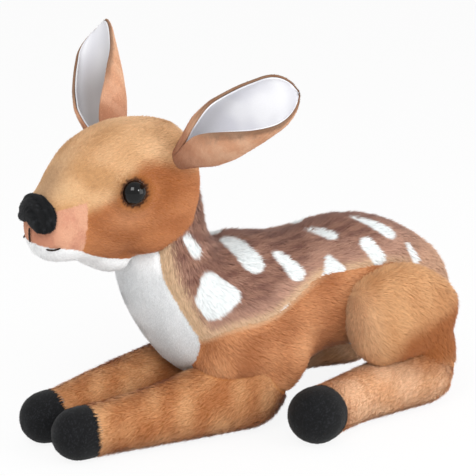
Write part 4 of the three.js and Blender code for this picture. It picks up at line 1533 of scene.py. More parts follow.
@dataclass
class Tail:
    """The short tail that lies on the rump: brown above and white below."""

    length: float = 46.0
    width: float = 24.0
    thickness: float = 11.0
    slope: float = 66.0

    def form(self) -> Form:
        """The tail's form, from the root to the tip."""
        slope = math.radians(self.slope)
        run = np.array([math.cos(slope), 0, -math.sin(slope)])
        shares = np.array([(0, 0.85, 0.5), (0.35, 1, 0.85), (0.7, 1, 1), (1, 0.7, 0.7)])
        rows = JOINTS["tail_lift"] + shares[:, :1] * self.length * run
        sizes = shares[:, 1:] * [self.thickness / 2, self.width / 2]
        return Form(np.c_[rows, sizes], (7.0, 7.0))

    def build(self) -> None:
        """Builds the tail."""
        form = self.form()

        def above(points: np.ndarray, _: np.ndarray) -> np.ndarray:
            """The outer face."""
            return form.locate(points).over > -0.2

        def below(points: np.ndarray, normals: np.ndarray) -> np.ndarray:
            """The face that lies on the rump."""
            return ~above(points, normals)

        def flow(points: np.ndarray) -> np.ndarray:
            """Pile lies from the root to the tip."""
            return form.locate(points).tangent

        panels = [
            Panel("tail_pile", "back_pile", ("tail_top",), BODY_PILE, 3.0, above, back_tint, flow),
            Panel(
                "tail_plush", "white_plush", ("tail_underside",), BODY_PILE, 2.5, below,
                white_tint, flow,
            ),
        ]
        root = form.rows[0, :3]
        run = form.rows[-1, :3] - root
        hold = bends("tail", root - 0.1 * run, root + 0.25 * run)
        Plush("tail_skin", (), [form], panels, hold, 2.0, 2.5, 17, slot="back_pile").build()


def rotation(axis: np.ndarray, degrees: float) -> np.ndarray:
    """A turn about an axis as a 3 x 3 matrix, by Rodrigues' formula."""
    x, y, z = unit(np.asarray(axis, float))
    cross = np.array([[0, -z, y], [z, 0, -x], [-y, x, 0]])
    angle = math.radians(degrees)
    return np.eye(3) + math.sin(angle) * cross + (1 - math.cos(angle)) * cross @ cross


# The head turns 10 degrees to one side and tilts 5 degrees.
HEAD_SPIN = rotation(UP, 10.0) @ rotation(np.array([1.0, 0, 0]), 5.0)
HEAD_TURN = np.eye(4)
HEAD_TURN[:3, :3], HEAD_TURN[:3, 3] = HEAD_SPIN, NECK - HEAD_SPIN @ NECK


def on_head(points: np.ndarray) -> np.ndarray:
    """Turns places from the head's straight frame to the toy's."""
    return (np.asarray(points, float) - NECK) @ HEAD_SPIN.T + NECK


def head_shares(points: np.ndarray) -> tuple[np.ndarray, np.ndarray, np.ndarray]:
    """Places along, up and across the head, as shares of its length, height and width."""
    straight = (points - NECK) @ HEAD_SPIN + NECK
    along = (NECK_X + HEAD_BACK - straight[:, 0]) / HEAD_LENGTH
    up = (straight[:, 2] - JAW_HEIGHT) / HEAD_HEIGHT
    return along, up, (straight[:, 1] - MIDDLE_Y) / HEAD_WIDTH


def head_place(along: float, up: float, over: float) -> np.ndarray:
    """A place in the head's straight frame, from shares along, up and across it."""
    x = NECK_X + HEAD_BACK - along * HEAD_LENGTH
    return np.array([x, MIDDLE_Y + over * HEAD_WIDTH, JAW_HEIGHT + up * HEAD_HEIGHT])


def head_line(shares: Sequence[Sequence[float]]) -> np.ndarray:
    """A seam of the head as smoothed shares along and up it."""
    return spline(np.array(shares), np.linspace(0, 1, 40))


MUZZLE_START = 0.765
CHIN_SEAM = head_line(
    [(-0.1, 0.04), (0.5, 0.06), (0.7, 0.14), (0.79, 0.2), (0.9, 0.23), (1.2, 0.25)]
)
BROW_SEAM = head_line(
    [(-0.1, 0.62), (0.15, 0.71), (0.31, 0.77), (0.46, 0.79), (0.61, 0.65), (MUZZLE_START, 0.555)]
)
MUZZLE_SEAM = head_line([(MUZZLE_START, 0.555), (0.885, 0.5), (1.2, 0.42)])
# An eye's place as shares along, up and across the head, and its radius in millimetres.
EYE_PLACE = (0.54, 0.61, 0.445)
EYE_RADIUS = 7.25


def eye_axis(side: Side) -> np.ndarray:
    """The way an eye looks: 12 degrees forwards and 8 degrees up from straight out."""
    forward, up = math.radians(12), math.radians(8)
    out = np.array([-math.sin(forward), side.value * math.cos(forward), math.sin(up)])
    return HEAD_SPIN @ unit(out)


def eye_centre(side: Side) -> np.ndarray:
    """The middle of an eye's base, in millimetres."""
    along, up, over = EYE_PLACE
    return on_head(head_place(along, up, side.value * over))


def head_part(rows: Sequence[Sequence[float]], domes: tuple[float, float]) -> Form:
    """A form of the head.

    Args:
        rows: Shares along, up and across the head, and half height and half width in
            millimetres.
        domes: Lengths of the round ends.

    Returns:
        The form, turned with the head.
    """
    places = np.stack([head_place(*row[:3]) for row in rows])
    return Form(np.c_[places, [row[3:] for row in rows]], domes, HEAD_TURN)


def head_form() -> Form:
    """The head's form, from the back of the skull to the muzzle.

    Rows are place along, height above the jaw, half height and half width, as shares.
    """
    shares = np.array(
        [(-0.01, 0.51, 0.4, 0.4), (0.19, 0.52, 0.475, 0.475), (0.39, 0.515, 0.51, 0.49),
         (0.56, 0.475, 0.49, 0.435), (0.69, 0.41, 0.418, 0.36), (0.81, 0.355, 0.325, 0.295),
         (0.91, 0.345, 0.265, 0.25), (0.99, 0.35, 0.205, 0.22)]
    )
    sizes = shares[:, 2:] * [HEAD_HEIGHT, HEAD_WIDTH]
    return head_part(np.c_[shares[:, :2], np.zeros(len(shares)), sizes], (17.0, 9.0))


def jowl_form(side: Side) -> Form:
    """The fullness of one cheek at the corner of the jaw."""
    rows = np.array(
        [(0.08, 0.36, 0.2, 15, 11), (0.2, 0.31, 0.26, 18, 14), (0.36, 0.27, 0.27, 17, 13.5),
         (0.52, 0.27, 0.22, 15, 11)]
    )
    return head_part(rows * [1, 1, side.value, 1, 1], (10.0, 14.0))


def throat_form() -> Form:
    """The fullness under the jaw, which runs from the chin down to the neck."""
    rows = [
        (0.72, 0.12, 0.0, 9.0, 11.0), (0.62, 0.09, 0.0, 10.5, 14.0),
        (0.5, 0.03, 0.0, 11.5, 17.0), (0.38, 0.0, 0.0, 12.0, 17.0),
    ]
    return head_part(rows, (8.0, 10.0))


def seam_up(line: np.ndarray, along: np.ndarray) -> np.ndarray:
    """A head seam's height at places along the head."""
    return np.interp(along, line[:, 0], line[:, 1])


def eye_ring(points: np.ndarray) -> np.ndarray:
    """Distance of places from the nearer eye's axis, in millimetres."""
    best = np.full(len(points), np.inf)
    for side in Side:
        offset, axis = points - eye_centre(side), eye_axis(side)
        ahead = offset @ axis
        gap = np.linalg.norm(offset - ahead[:, None] * axis, axis=1)
        best = np.where(ahead > -8, np.minimum(best, gap), best)
    return best


def face_tint(points: np.ndarray, rng: np.random.Generator) -> np.ndarray:
    """Fur of the forehead and cheeks.

    The forehead is golden and turns grey-brown towards the nose. The cheeks are rust, darkest
    behind the eye, and paler under it. A dark ring of short fur lies round each eye, deepened
    with painted shade of the hollow that the eye sits in.

    Args:
        points: Places in millimetres.
        rng: Source of the fibres' differences.

    Returns:
        Linear colours.
    """
    along, up, over = head_shares(points)

    def near(place: tuple[float, float], size: tuple[float, float]) -> np.ndarray:
        """A soft spot: 1 at a place along and up the head, and 0 far from it."""
        return np.exp(-(((along - place[0]) / size[0]) ** 2) - ((up - place[1]) / size[1]) ** 2)

    noise = rng.normal(size=len(points))
    patch = ripple(points, 18.0, 91) + 0.35 * noise
    gold = mix("#cb9b6b", "#dbae80", smooth(-1.2, 0.8, patch))
    gold = mix(gold, "#e8c193", 0.4 * smooth(0.4, 1.6, patch))
    gold = mix(gold, "#f6cfa2", 0.5 * near((0.37, 0.88), (0.13, 0.12)))
    bridge = smooth(0.66, 0.92, along) * smooth(0.22, 0.02, np.abs(over))
    gold = mix(gold, "#ad9177", 0.6 * bridge)
    rust = mix("#ae6b3e", "#c07d4e", smooth(-1.2, 0.8, patch))
    rust = mix(rust, "#95521f", 0.75 * near((0.33, 0.6), (0.12, 0.13)))
    rust = mix(rust, "#d4966a", 0.55 * near((0.56, 0.42), (0.1, 0.09)))
    rust = mix(rust, "#a66137", 0.4 * smooth(0.3, 0.1, up) * smooth(0.75, 0.5, along))
    edge = seam_up(BROW_SEAM, along) + 0.012 * noise
    front = smooth(0.5, 0.72, along)
    colour = mix(rust, gold, smooth(-0.06, 0.05, up - edge + 0.07 * front))
    ring = eye_ring(points) + 0.5 * noise
    # The ring's dark brown is the fur's own, deepened with painted shade where the eye sits.
    colour = mix(colour, "#7d4a22", 0.6 * smooth(15.0, 9.0, ring))
    return mix(colour, "#38221a", 0.92 * smooth(9.4, 8.0, ring))


def muzzle_tint(points: np.ndarray, rng: np.random.Generator) -> np.ndarray:
    """Peach plush of the muzzle, a little pinker towards the nose."""
    along, _, _ = head_shares(points)
    patch = mottle(points, 12.0, 101, rng, 0.4)
    colour = mix("#d1947a", "#dfa88a", smooth(-1.2, 1.0, patch))
    return mix(colour, "#cf8e72", 0.5 * smooth(0.85, 0.97, along))


class FacePart(Enum):
    """A panel of the head."""

    CHIN = 0
    FOREHEAD = 1
    MUZZLE = 2
    CHEEK = 3


# What covers each panel of the head: piece, slot, pile, blades a square millimetre and colours.
FACE_CLOTHS = {
    FacePart.CHIN: ("chin_plush", "white_plush", SHORT_PILE, 3.4, white_tint),
    FacePart.FOREHEAD: ("forehead_pile", "forehead_pile", FACE_PILE, 3.6, face_tint),
    FacePart.MUZZLE: ("muzzle_plush", "peach_plush", VELVET_PILE, 4.2, muzzle_tint),
    FacePart.CHEEK: ("cheek_pile", "rust_pile", FACE_PILE, 3.6, face_tint),
}


@dataclass
class Head:
    """The head: forehead, cheeks, muzzle and chin on one filled skin."""

    inset: float = 1.1
    voxel: float = 4.0

    def part(self, points: np.ndarray) -> np.ndarray:
        """Finds the panel of each place.

        Args:
            points: Places in millimetres.

        Returns:
            Numbers of the panels, as in FacePart.
        """
        along, up, _ = head_shares(points)
        behind = along < MUZZLE_START
        top = np.where(behind, seam_up(BROW_SEAM, along), seam_up(MUZZLE_SEAM, along))
        side = np.where(behind, FacePart.CHEEK.value, FacePart.MUZZLE.value)
        upper = np.where(up > top, FacePart.FOREHEAD.value, side)
        return np.where(up < seam_up(CHIN_SEAM, along), FacePart.CHIN.value, upper)

    def flow(self, points: np.ndarray) -> np.ndarray:
        """Pile lies from the nose to the nape, and down the cheeks."""
        _, up, over = head_shares(points)
        back = -head_form().locate(points).tangent
        down = 0.55 * smooth(0.8, 0.4, up) * smooth(0.1, 0.3, np.abs(over))
        outward = np.sign(over)[:, None] * ACROSS * 0.25
        return back + outward - down[:, None] * UP

    def lift(self, points: np.ndarray) -> np.ndarray:
        """The skin swells round each eye, so that it covers the washer and the eye's rim."""
        return 1.9 * smooth(17.0, 10.0, eye_ring(points))

    def reach(self, points: np.ndarray) -> np.ndarray:
        """Pile is short beside the eyes and towards the nose."""
        along, _, _ = head_shares(points)
        at_eye = smooth(8.0, 16.0, eye_ring(points))
        return (0.35 + 0.65 * at_eye) * (1 - 0.45 * smooth(0.6, 0.9, along))

    def panel(self, part: FacePart, side: Side | None = None) -> Panel:
        """A panel of the head.

        Args:
            part: Which part of the head it covers.
            side: Side of the head, or None for both.

        Returns:
            The panel.
        """

        def covers(points: np.ndarray, _: np.ndarray) -> np.ndarray:
            """The part, clear of the eyes."""
            own = self.part(points) == part.value
            if side:
                own &= head_shares(points)[2] * side.value > 0
            return own & (eye_ring(points) > EYE_RADIUS - 0.6)

        name, slot, pile, density, tint = FACE_CLOTHS[part]
        word = f"_{side.word}" if side else ""
        long = pile is FACE_PILE
        return Panel(
            name + word, slot, (f"{part.name.lower()}_cover{word}",), pile, density, covers, tint,
            self.flow, FUR if long else PLUSH, self.reach if long else None,
        )

    def build(self, clear_of: list[Form]) -> None:
        """Builds the head with its nose, mouth and eyes.

        Args:
            clear_of: Forms that hide the head's pile.
        """
        panels = [self.panel(FacePart.FOREHEAD), self.panel(FacePart.CHIN)]
        for side in Side:
            panels += [self.panel(FacePart.CHEEK, side), self.panel(FacePart.MUZZLE, side)]
        forms = [head_form(), throat_form(), jowl_form(Side.LEFT), jowl_form(Side.RIGHT)]
        skin = Plush(
            "head_skin", ("head_stuffing",), forms, panels, rides("head"), self.inset, self.voxel,
            23, clear_of=clear_of, lift=self.lift,
        ).build()
        Nose().build()
        Mouth().build(skin)
        for side in Side:
            Eye(side).build()


@dataclass
class Nose:
    """The nose: a black plush pad over the end of the muzzle."""

    bulge: float = 3.8
    sink: float = 1.5
    rings: int = 34
    sides: int = 48

    def edge(self, around: np.ndarray) -> np.ndarray:
        """Angle between straight ahead and the pad's edge, from its top round to its bottom.

        The pad is sewn a little askew: its left wing reaches lower than its right one.
        """
        wings = np.radians([[70, 75, 82, 78, 44, 20], [70, 70, 70, 58, 36, 20]])
        left, right = spline(wings.T, np.abs(around).ravel() / math.pi).T
        return np.where(around.ravel() > 0, right, left).reshape(around.shape)

    def on_muzzle(self, centre: np.ndarray, heading: np.ndarray) -> np.ndarray:
        """Distances from a centre to the muzzle's face, found by halving.

        Args:
            centre: Place inside the muzzle, in millimetres.
            heading: Directions of length one.

        Returns:
            One distance a direction, in millimetres.
        """
        form = head_form()
        near, far = np.zeros(len(heading)), np.full(len(heading), 40.0)
        for _ in range(18):
            middle = (near + far) / 2
            inside = form.holds(centre + heading * middle[:, None], 1.0)
            near, far = np.where(inside, middle, near), np.where(inside, far, middle)
        return near

    def flow(self, points: np.ndarray) -> np.ndarray:
        """Pile lies back from the nose's tip and down."""
        return np.tile(HEAD_SPIN @ np.array([1.0, 0, -0.3]), (len(points), 1))

    def build(self) -> None:
        """Makes the pad and its short pile.

        The pad follows the muzzle's face. A place in it is a share r of the way to its edge,
        the sine of a turn from 0 to half a circle. The outer face stands out by the bulge times
        the turn's cosine to the power 0.6, and the inner face sinks in the same way.
        """
        centre = on_head(head_place(0.9, 0.45, 0))
        turn = np.linspace(0, math.pi, self.rings)[:, None]
        around = -np.linspace(-math.pi, math.pi, self.sides, endpoint=False)[None]
        angle = np.sin(turn) * self.edge(around)
        radial = ACROSS * np.sin(around)[..., None] + UP * np.cos(around)[..., None]
        heading = [-1, 0, 0] * np.cos(angle)[..., None] + radial * np.sin(angle)[..., None]
        heading = heading.reshape(-1, 3) @ HEAD_SPIN.T
        rise = np.sign(np.cos(turn)) * np.abs(np.cos(turn)) ** 0.6
        rise = (np.where(rise > 0, self.bulge, self.sink) * rise + 0 * around).ravel()
        reach = self.on_muzzle(centre, heading) + rise
        grid = (centre + heading * reach[:, None]).reshape(self.rings, self.sides, 3)
        points, faces = capped(grid)
        pad = new_piece("nose", points, [faces])
        pad.data.shade_smooth()
        cover_in_black(pad, "nose_plush", "nose_pad", "head", 5.0, self.flow, 2)


@dataclass
class Mouth:
    """Stitches under the nose: a short upright one and one at each corner of the mouth."""

    thickness: float = 1.1
    stand: float = 1.1
    sides: int = 10

    def build(self, skin: bpy.types.Object) -> None:
        """Lays the stitches on the head's skin.

        Args:
            skin: The head's skin, on which the thread lies.
        """
        tree = BVHTree.FromPolygons(
            [tuple(row) for row in corners(skin.data)],
            [tuple(face.vertices) for face in skin.data.polygons],
        )
        upright = [(1.02, 0.35, 0), (1.02, 0.31, 0), (1.01, 0.27, 0), (1.0, 0.235, 0)]
        corner = [
            (0.955, 0.222, 0.16), (0.935, 0.218, 0.2), (0.915, 0.222, 0.23), (0.9, 0.23, 0.26)
        ]
        lines = [upright, *(np.array(corner) * [1, 1, side.value] for side in Side)]
        points, faces = joined([self.tube(self.settle(tree, line)) for line in lines])
        made = new_piece("mouth_thread", points, [faces])
        made.data.shade_smooth()
        fit_out(made, THREAD, rides("head"), "thread", ("mouth_stitches",))
        log.info("mouth: %d stitches", len(lines))

    def settle(self, tree: BVHTree, line: Sequence[Sequence[float]]) -> np.ndarray:
        """Drops a line's points on the skin, just proud of the short pile."""
        rows = spline(np.array([head_place(*row) for row in line]), np.linspace(0, 1, 24))
        found = [tree.find_nearest(Vector(row)) for row in on_head(rows)]
        return np.array([tuple(place + normal * self.stand) for place, normal, _, _ in found])

    def tube(self, line: np.ndarray) -> tuple[np.ndarray, np.ndarray]:
        """A closed tube along a line, with two twisted strands' bulges.

        Its radius is half the thickness times one plus 0.12 times the cosine of twice the
        angle less the twist.

        Args:
            line: Points that the tube follows.

        Returns:
            Points and faces.
        """
        tangent = unit(np.gradient(line, axis=0))
        first = unit(np.cross(tangent, [0.3, 0.2, 1.0]))
        second = np.cross(tangent, first)
        around = 2 * math.pi * np.arange(self.sides) / self.sides
        twist = np.linspace(0, 9 * math.pi, len(line))[:, None]
        ends = np.sqrt(np.maximum(1 - np.linspace(-1, 1, len(line)) ** 8, 0))[:, None]
        radius = self.thickness / 2 * (1 + 0.12 * np.cos(2 * around - twist)) * ends
        return ovals(line, (first, second), radius, radius, self.sides)


@dataclass
class Eye:
    """A safety eye: a glossy dome on a shaft."""

    side: Side
    stand: float = 5.5
    sink: float = 1.0
    shaft: float = 2.25
    shaft_length: float = 9.0
    sides: int = 48

    def build(self) -> None:
        """Makes the eye by turning its profile, which is radius and height from pole to pole.

        The dome's radius is the eye's times the cosine of an angle, and its height the stand
        and the sink times the sine.
        """
        turn = np.linspace(0, math.pi / 2, 20)
        under = -self.sink - 0.6
        low = [(0, -self.shaft_length), (self.shaft, -self.shaft_length), (self.shaft, under)]
        rim = [(EYE_RADIUS - 0.5, under), (EYE_RADIUS - 0.1, -self.sink - 0.4)]
        rise = -self.sink + (self.stand + self.sink) * np.sin(turn)
        dome = np.c_[EYE_RADIUS * np.cos(turn), rise]
        dome[-1, 0] = 0
        radius, height = np.hsplit(np.vstack([low, rim, dome]), 2)
        axis = eye_axis(self.side)
        first = unit(np.cross(axis, UP))
        spokes = (first[None], np.cross(axis, first)[None])
        middle = eye_centre(self.side) + height * axis
        points, faces = ovals(middle, spokes, radius, radius, self.sides)
        made = new_piece(f"safety_eye_{self.side.word}", points, [faces])
        made.data.shade_smooth()
        fit_out(made, EYE, rides("head"), "eye_plastic", (f"eye_{self.side.word}",))
        WASHER.dress(frame["nodes"][f"eye_washer_{self.side.word}"])
        log.info("%s: %d faces", made.name, len(faces))


@dataclass(frozen=True)
class EarCut:
    """How one ear's cloth is cut and rolled.

    tip is where the cloth ends on the ear's axis, and root the share of the head's length
    where that axis leaves the head. From the root to the tip, turns says how far the cloth
    wraps round to its lower and upper edge, in degrees, and shares how wide it is. The root is
    rolled nearly shut, more so on the left ear, and the tip lies open.
    """

    tip: float
    root: float
    turns: tuple[tuple[float, float], ...]
    shares: tuple[float, ...]


EAR_CUTS = {
    Side.LEFT: EarCut(
        79.5, 0.18,
        ((180, 178), (180, 177), (176, 160), (160, 124), (136, 98), (110, 85), (90, 80)),
        (0.2, 0.53, 0.87, 0.99, 0.98, 0.91, 0.82),
    ),
    Side.RIGHT: EarCut(
        84.5, 0.262,
        ((172, 160), (152, 140), (138, 120), (130, 108), (122, 92), (108, 84), (90, 80)),
        (0.42, 0.73, 0.95, 1.0, 0.97, 0.9, 0.82),
    ),
}


@dataclass
class Ear:
    """An ear: a cupped outer cloth of peach plush with a satin lining.

    start is where the cloth begins on the ear's axis, sunk into the head. The axis rises by
    lift and leans back by back, and the ear is rolled about it by roll, all in degrees.
    """

    side: Side
    start: float = -13.0
    lift: float = 36.0
    back: float = 28.0
    roll: float = 10.0
    width: float = 39.0
    cup: float = 20.0
    outer_thickness: float = 1.6
    lining_thickness: float = 1.0
    gap: float = 0.3
    steps_long: int = 60
    steps_wide: int = 44

    @property
    def cut(self) -> EarCut:
        """How this ear's cloth is cut."""
        return EAR_CUTS[self.side]

    @property
    def reach(self) -> float:
        """Length of the cloth along the ear's axis."""
        return self.cut.tip - self.start

    def axes(self) -> tuple[np.ndarray, np.ndarray, np.ndarray]:
        """The ear's directions along it, out of its opening and across it."""
        lift, back, sign = math.radians(self.lift), math.radians(self.back), self.side.value
        flat = math.cos(lift)
        along = np.array([flat * math.sin(back), sign * flat * math.cos(back), math.sin(lift)])
        forwards = np.array([-1.0, 0, 0])
        opening = rotation(along, sign * self.roll) @ unit(forwards - (forwards @ along) * along)
        wide = np.cross(along, opening) * -sign
        return HEAD_SPIN @ along, HEAD_SPIN @ opening, HEAD_SPIN @ wide

    def root(self) -> np.ndarray:
        """Where the ear's axis leaves the head."""
        return on_head(head_place(self.cut.root, 0.81, self.side.value * 0.44))

    def turns(self, u: np.ndarray) -> tuple[np.ndarray, np.ndarray]:
        """How far the cloth wraps round to its lower and upper edge, in degrees."""
        lower, upper = spline(np.array(self.cut.turns, float), u.ravel()).T
        return lower.reshape(u.shape), upper.reshape(u.shape)

    def shape(self, u: np.ndarray) -> np.ndarray:
        """Share of the full width along the ear, which is rounded off at the tip."""
        share = spline(np.array(self.cut.shares)[:, None], u.ravel()).reshape(u.shape)
        return share * np.sqrt(1 - 0.985 * np.clip((u - 0.8) / 0.2, 0, 1) ** 2.6)

    def point(self, u: np.ndarray, v: np.ndarray, depth: np.ndarray) -> np.ndarray:
        """A point of the ear's cloth.

        The cloth is a share u along the ear. Its section is an arc: half width times the sine
        of the turn, and the cup's depth times its cosine, where the turn is v times an angle
        that falls from the root to the tip.

        Args:
            u: Shares from the root to the tip.
            v: Shares from one edge, -1, to the other, 1.
            depth: Depth under the outer face in millimetres.

        Returns:
            Points in millimetres.
        """
        along, opening, wide = self.axes()
        share = self.shape(u)
        half = share * self.width / 2 - depth
        cup = share * self.cup * (1 - 0.6 * u) - depth
        lower, upper = self.turns(u)
        turn = np.radians(np.where(v > 0, lower, upper) * v)
        out = 0.4 * share * self.cup - cup * np.cos(turn)
        reach = self.start + u * self.reach
        return (
            self.root()
            + along * reach[..., None]
            + wide * (half * np.sin(turn))[..., None]
            + opening * out[..., None]
        )

    def sheet(
        self, name: str, near: np.ndarray, far: np.ndarray
    ) -> tuple[bpy.types.Object, np.ndarray]:
        """Makes a closed sheet between two depths.

        Args:
            name: The piece's name.
            near: Depths of the outer face on the grid.
            far: Depths of the inner face on the grid.

        Returns:
            The piece and its points.
        """
        u, v = self.grid()
        points = np.vstack([self.point(u, v, depth).reshape(-1, 3) for depth in (near, far)])
        index = np.arange(u.size).reshape(u.shape)
        outer = np.stack([index[:-1, :-1], index[1:, :-1], index[1:, 1:], index[:-1, 1:]], -1)
        outer = outer.reshape(-1, 4)
        rim = np.concatenate([index[0, :-1], index[:-1, -1], index[-1, :0:-1], index[:0:-1, 0]])
        ahead = np.roll(rim, -1)
        wall = np.stack([rim, ahead, ahead + u.size, rim + u.size], -1)
        faces = np.vstack([outer, outer[:, ::-1] + u.size, wall])
        piece = new_piece(name, points, [faces if self.side is Side.LEFT else faces[:, ::-1]])
        piece.data.shade_smooth()
        return piece, points

    def grid(self) -> tuple[np.ndarray, np.ndarray]:
        """The shares u and v of the cloth's grid."""
        u = np.linspace(0, 1, self.steps_long)
        v = np.sin(np.linspace(-1, 1, self.steps_wide) * math.pi / 2 * 0.999)
        v = 0.5 * v + 0.5 * np.linspace(-1, 1, self.steps_wide)
        return np.meshgrid(u, v, indexing="ij")

    def place(self, points: np.ndarray) -> tuple[np.ndarray, np.ndarray]:
        """Where points lie on the ear: the share u along it and the share v round it."""
        along, opening, wide = self.axes()
        offset = points - self.root()
        u = (offset @ along - self.start) / self.reach
        inner = np.clip(u, 0, 0.97)
        share = self.shape(inner)
        cup = share * self.cup * (1 - 0.6 * inner)
        over = (offset @ wide) / (share * self.width / 2)
        turn = np.degrees(np.arctan2(over, (0.4 * share * self.cup - offset @ opening) / cup))
        lower, upper = self.turns(inner)
        return u, turn / np.where(turn > 0, lower, upper)

    def tint(self, points: np.ndarray, rng: np.random.Generator) -> np.ndarray:
        """Peach plush, redder near the root and darker at it as painted shade, with a dark brown
        rim and tip.
        """
        u, v = self.place(points)
        noise = rng.normal(size=len(points))
        patch = ripple(points, 14.0, 111) + 0.4 * noise
        colour = mix("#e0a884", "#edbd9b", smooth(-1.2, 1.0, patch))
        colour = mix(colour, "#d8987a", 0.5 * smooth(0.5, 0.1, u))
        # Painted shade where the ear meets the head.
        colour = mix(colour, "#9a6145", 0.55 * smooth(0.3, 0.1, u + 0.03 * patch))
        rim = smooth(0.84, 0.97, np.abs(v) + 0.02 * noise) * smooth(0.25, 0.5, u)
        tip = smooth(0.93, 1.0, u + 0.01 * patch)
        return mix(colour, "#5d4638", 0.85 * np.maximum(0.75 * rim, tip))

    def satin_tint(self, points: np.ndarray) -> np.ndarray:
        """Pearly satin, with painted shade where the ear is deep, stronger on the right ear."""
        u, v = self.grid()
        # Painted shade in the ear's hollow: strong on the right ear, light near the left ear's
        # root.
        if self.side is Side.RIGHT:
            painted_cup_shade = 0.9 * smooth(1.0, 0.5, u) * (1 - 0.7 * smooth(0.5, 0.9, np.abs(v)))
        else:
            painted_cup_shade = 0.35 * smooth(0.5, 0.1, u)
        satin = mix("#dcdce2", "#eeeef1", smooth(-1, 1, ripple(points, 22.0, 131)))
        return mix(satin, "#8f8784", np.tile(painted_cup_shade.ravel(), 2))

    def outside(self, places: Scatter) -> Scatter:
        """The places on the outer face, and round the rim of the tip."""
        along, _, _ = self.axes()
        share, _ = self.place(places.points)
        offset = places.points - self.root()
        from_axis = offset - along * (offset @ along)[:, None]
        facing = (places.normals * from_axis).sum(1)
        outward = facing > -0.5 * np.linalg.norm(from_axis, axis=1) * smooth(0.9, 1.0, share)
        return places.where((facing > 0) | (share > 0.985) & outward)

    def build(self) -> None:
        """Builds the outer cloth, its pile and the lining."""
        along, _, _ = self.axes()
        word = self.side.word
        joint = JOINTS[f"ear_{word}_flop"]
        hold = bends(f"ear_{word}", joint - 4 * along, joint + 14 * along)
        u, v = self.grid()
        outer, points = self.sheet(f"ear_cloth_{word}", 0 * u, 0 * u + self.outer_thickness)
        # The cloth under the plush is painted darker than it: painted shade between the blades.
        set_tint(outer.data, self.tint(points, np.random.default_rng(3)) * 0.7)
        fit_out(outer, BACKING, hold, "peach_plush", (f"ear_{word}_outer",))
        fold = 0.35 * ripple(np.c_[u.ravel() * 60, v.ravel() * 6, 0 * u.ravel()], 16.0, 121)
        inside = self.outer_thickness + self.gap + fold.reshape(u.shape)
        lining, points = self.sheet(f"ear_satin_{word}", inside, inside + self.lining_thickness)
        set_tint(lining.data, self.satin_tint(points))
        fit_out(lining, SATIN, hold, "ear_lining", (f"ear_{word}_lining",))
        places = self.outside(scatter_on(outer.data, 3.4, 41 + self.side.value))
        flow = np.tile(along, (len(places.points), 1))
        pile = plant_pile(f"ear_plush_{word}", places, flow, VELVET_PILE, self.tint, 51)
        fit_out(pile, PLUSH, hold, "peach_plush")
        log.info("ear %s: %d blades", word, len(places.points))


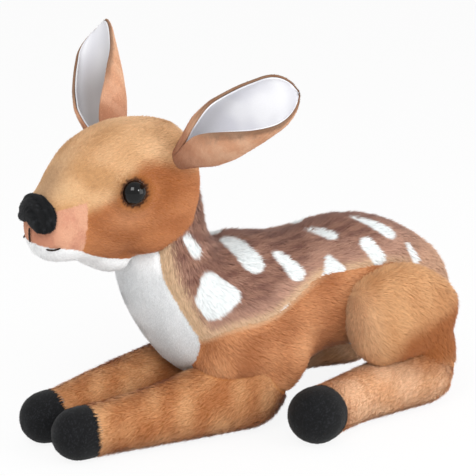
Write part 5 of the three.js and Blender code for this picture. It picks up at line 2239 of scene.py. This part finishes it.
@dataclass
class Studio:
    """Camera, pale floor and soft lamps."""

    azimuth: float = -30.0
    elevation: float = 15.5
    distance: float = 1000.0
    lens: float = 120.0
    target_height: float = 118.0
    floor_reach: float = 6000.0
    sky: float = 0.74

    def target(self) -> np.ndarray:
        """What the camera looks at, in millimetres."""
        return np.array([NECK_X + 50.0, MIDDLE_Y, self.target_height])

    def look(self, piece: bpy.types.Object, place: np.ndarray) -> None:
        """Puts a camera or lamp at a place and turns it to the target."""
        piece.location = Vector(place * METRES)
        heading = Vector((self.target() - place) * METRES)
        piece.rotation_euler = heading.to_track_quat("-Z", "Y").to_euler()
        bpy.context.scene.collection.objects.link(piece)

    def camera(self) -> None:
        """Makes the camera at the photograph's viewing angle."""
        turn, lift = math.radians(self.azimuth), math.radians(self.elevation)
        flat = math.cos(lift)
        back = np.array([math.sin(turn) * flat, -math.cos(turn) * flat, math.sin(lift)])
        data = bpy.data.cameras.new("Camera")
        data.lens, data.sensor_width = self.lens, 36.0
        camera = bpy.data.objects.new("Camera", data)
        self.look(camera, self.target() + back * self.distance)
        bpy.context.scene.camera = camera
        bpy.context.scene.view_settings.view_transform = "Standard"

    def lamp(self, name: str, place: Sequence[float], size: float, power: float) -> None:
        """Adds a square soft lamp that faces the toy."""
        data = bpy.data.lights.new(name, "AREA")
        data.size, data.energy = size * METRES, power
        self.look(bpy.data.objects.new(name, data), self.target() + np.array(place, float))

    def floor(self) -> None:
        """A pale floor. Straight camera, glossy and transmission rays see it nearly white."""
        points = self.floor_reach * np.array([(-1, -1, 0), (1, -1, 0), (1, 1, 0), (-1, 1, 0)])
        made = new_piece("floor", points, [np.array([[0, 1, 2, 3]])])
        material = bpy.data.materials.new("Pale studio floor")
        material.use_nodes = True
        tree = material.node_tree
        shader = tree.nodes["Principled BSDF"]
        shader.inputs["Roughness"].default_value = 0.9
        shader.inputs["Base Color"].default_value = (0.86, 0.86, 0.86, 1)
        white = add_node(material, "ShaderNodeEmission", {"Color": (1, 1, 1, 1), "Strength": 1.0})
        blend = add_node(
            material, "ShaderNodeMixShader", {},
            {"Fac": self.seen(material, 0.9), 1: shader.outputs[0], 2: white.outputs[0]},
        )
        tree.links.new(blend.outputs[0], tree.nodes["Material Output"].inputs["Surface"])
        made.data.materials.append(material)

    def seen(self, material: bpy.types.Material, share: float) -> bpy.types.NodeSocket:
        """A share for rays from the camera, glossy and transmission rays, and 0 for others."""
        path = add_node(material, "ShaderNodeLightPath")
        any_ray = path.outputs["Is Camera Ray"]
        for kind in ("Is Glossy Ray", "Is Transmission Ray"):
            links = {0: any_ray, 1: path.outputs[kind]}
            either = add_node(material, "ShaderNodeMath", {"operation": "MAXIMUM"}, links)
            any_ray = either.outputs[0]
        scaled = add_node(material, "ShaderNodeMath", {"operation": "MULTIPLY"}, {0: any_ray})
        scaled.inputs[1].default_value = share
        return scaled.outputs[0]

    def build(self) -> None:
        """Lights the toy at a plain level and lays the floor."""
        world = bpy.context.scene.world or bpy.data.worlds.new("World")
        bpy.context.scene.world = world
        world.use_nodes = True
        sky = world.node_tree.nodes["Background"]
        sky.inputs["Color"].default_value = (1, 1, 1, 1)
        sky.inputs["Strength"].default_value = self.sky
        self.lamp("Key", (-700, -900, 1100), 700, 11.5)
        self.lamp("Fill", (900, -900, 300), 900, 6.8)
        self.lamp("Catchlight", (350, -1000, 520), 150, 2.2)
        self.floor()


def main() -> None:
    logging.basicConfig(level=logging.INFO, format="%(message)s", stream=sys.stdout)
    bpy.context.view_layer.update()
    studio = Studio()
    studio.camera()
    head = head_form()
    thighs = [Thigh(side) for side in Side]
    forelegs = [Foreleg(side) for side in Side]
    shanks = [Shank(side) for side in Side]
    tail = Tail()
    trunk_shape = trunk_forms()
    limbs = [limb.form() for limb in (*thighs, *forelegs, *shanks)]
    Trunk().build([head, *limbs])
    for thigh, shank in zip(thighs, shanks, strict=True):
        thigh.build([*trunk_shape, shank.form()])
        shank.build([*trunk_shape, thigh.form(), thigh.haunch()])
    for foreleg in forelegs:
        foreleg.build(trunk_shape)
    tail.build()
    Head().build([trunk_form()])
    for side in Side:
        Ear(side).build()
    studio.build()


if __name__ == "__main__":
    main()
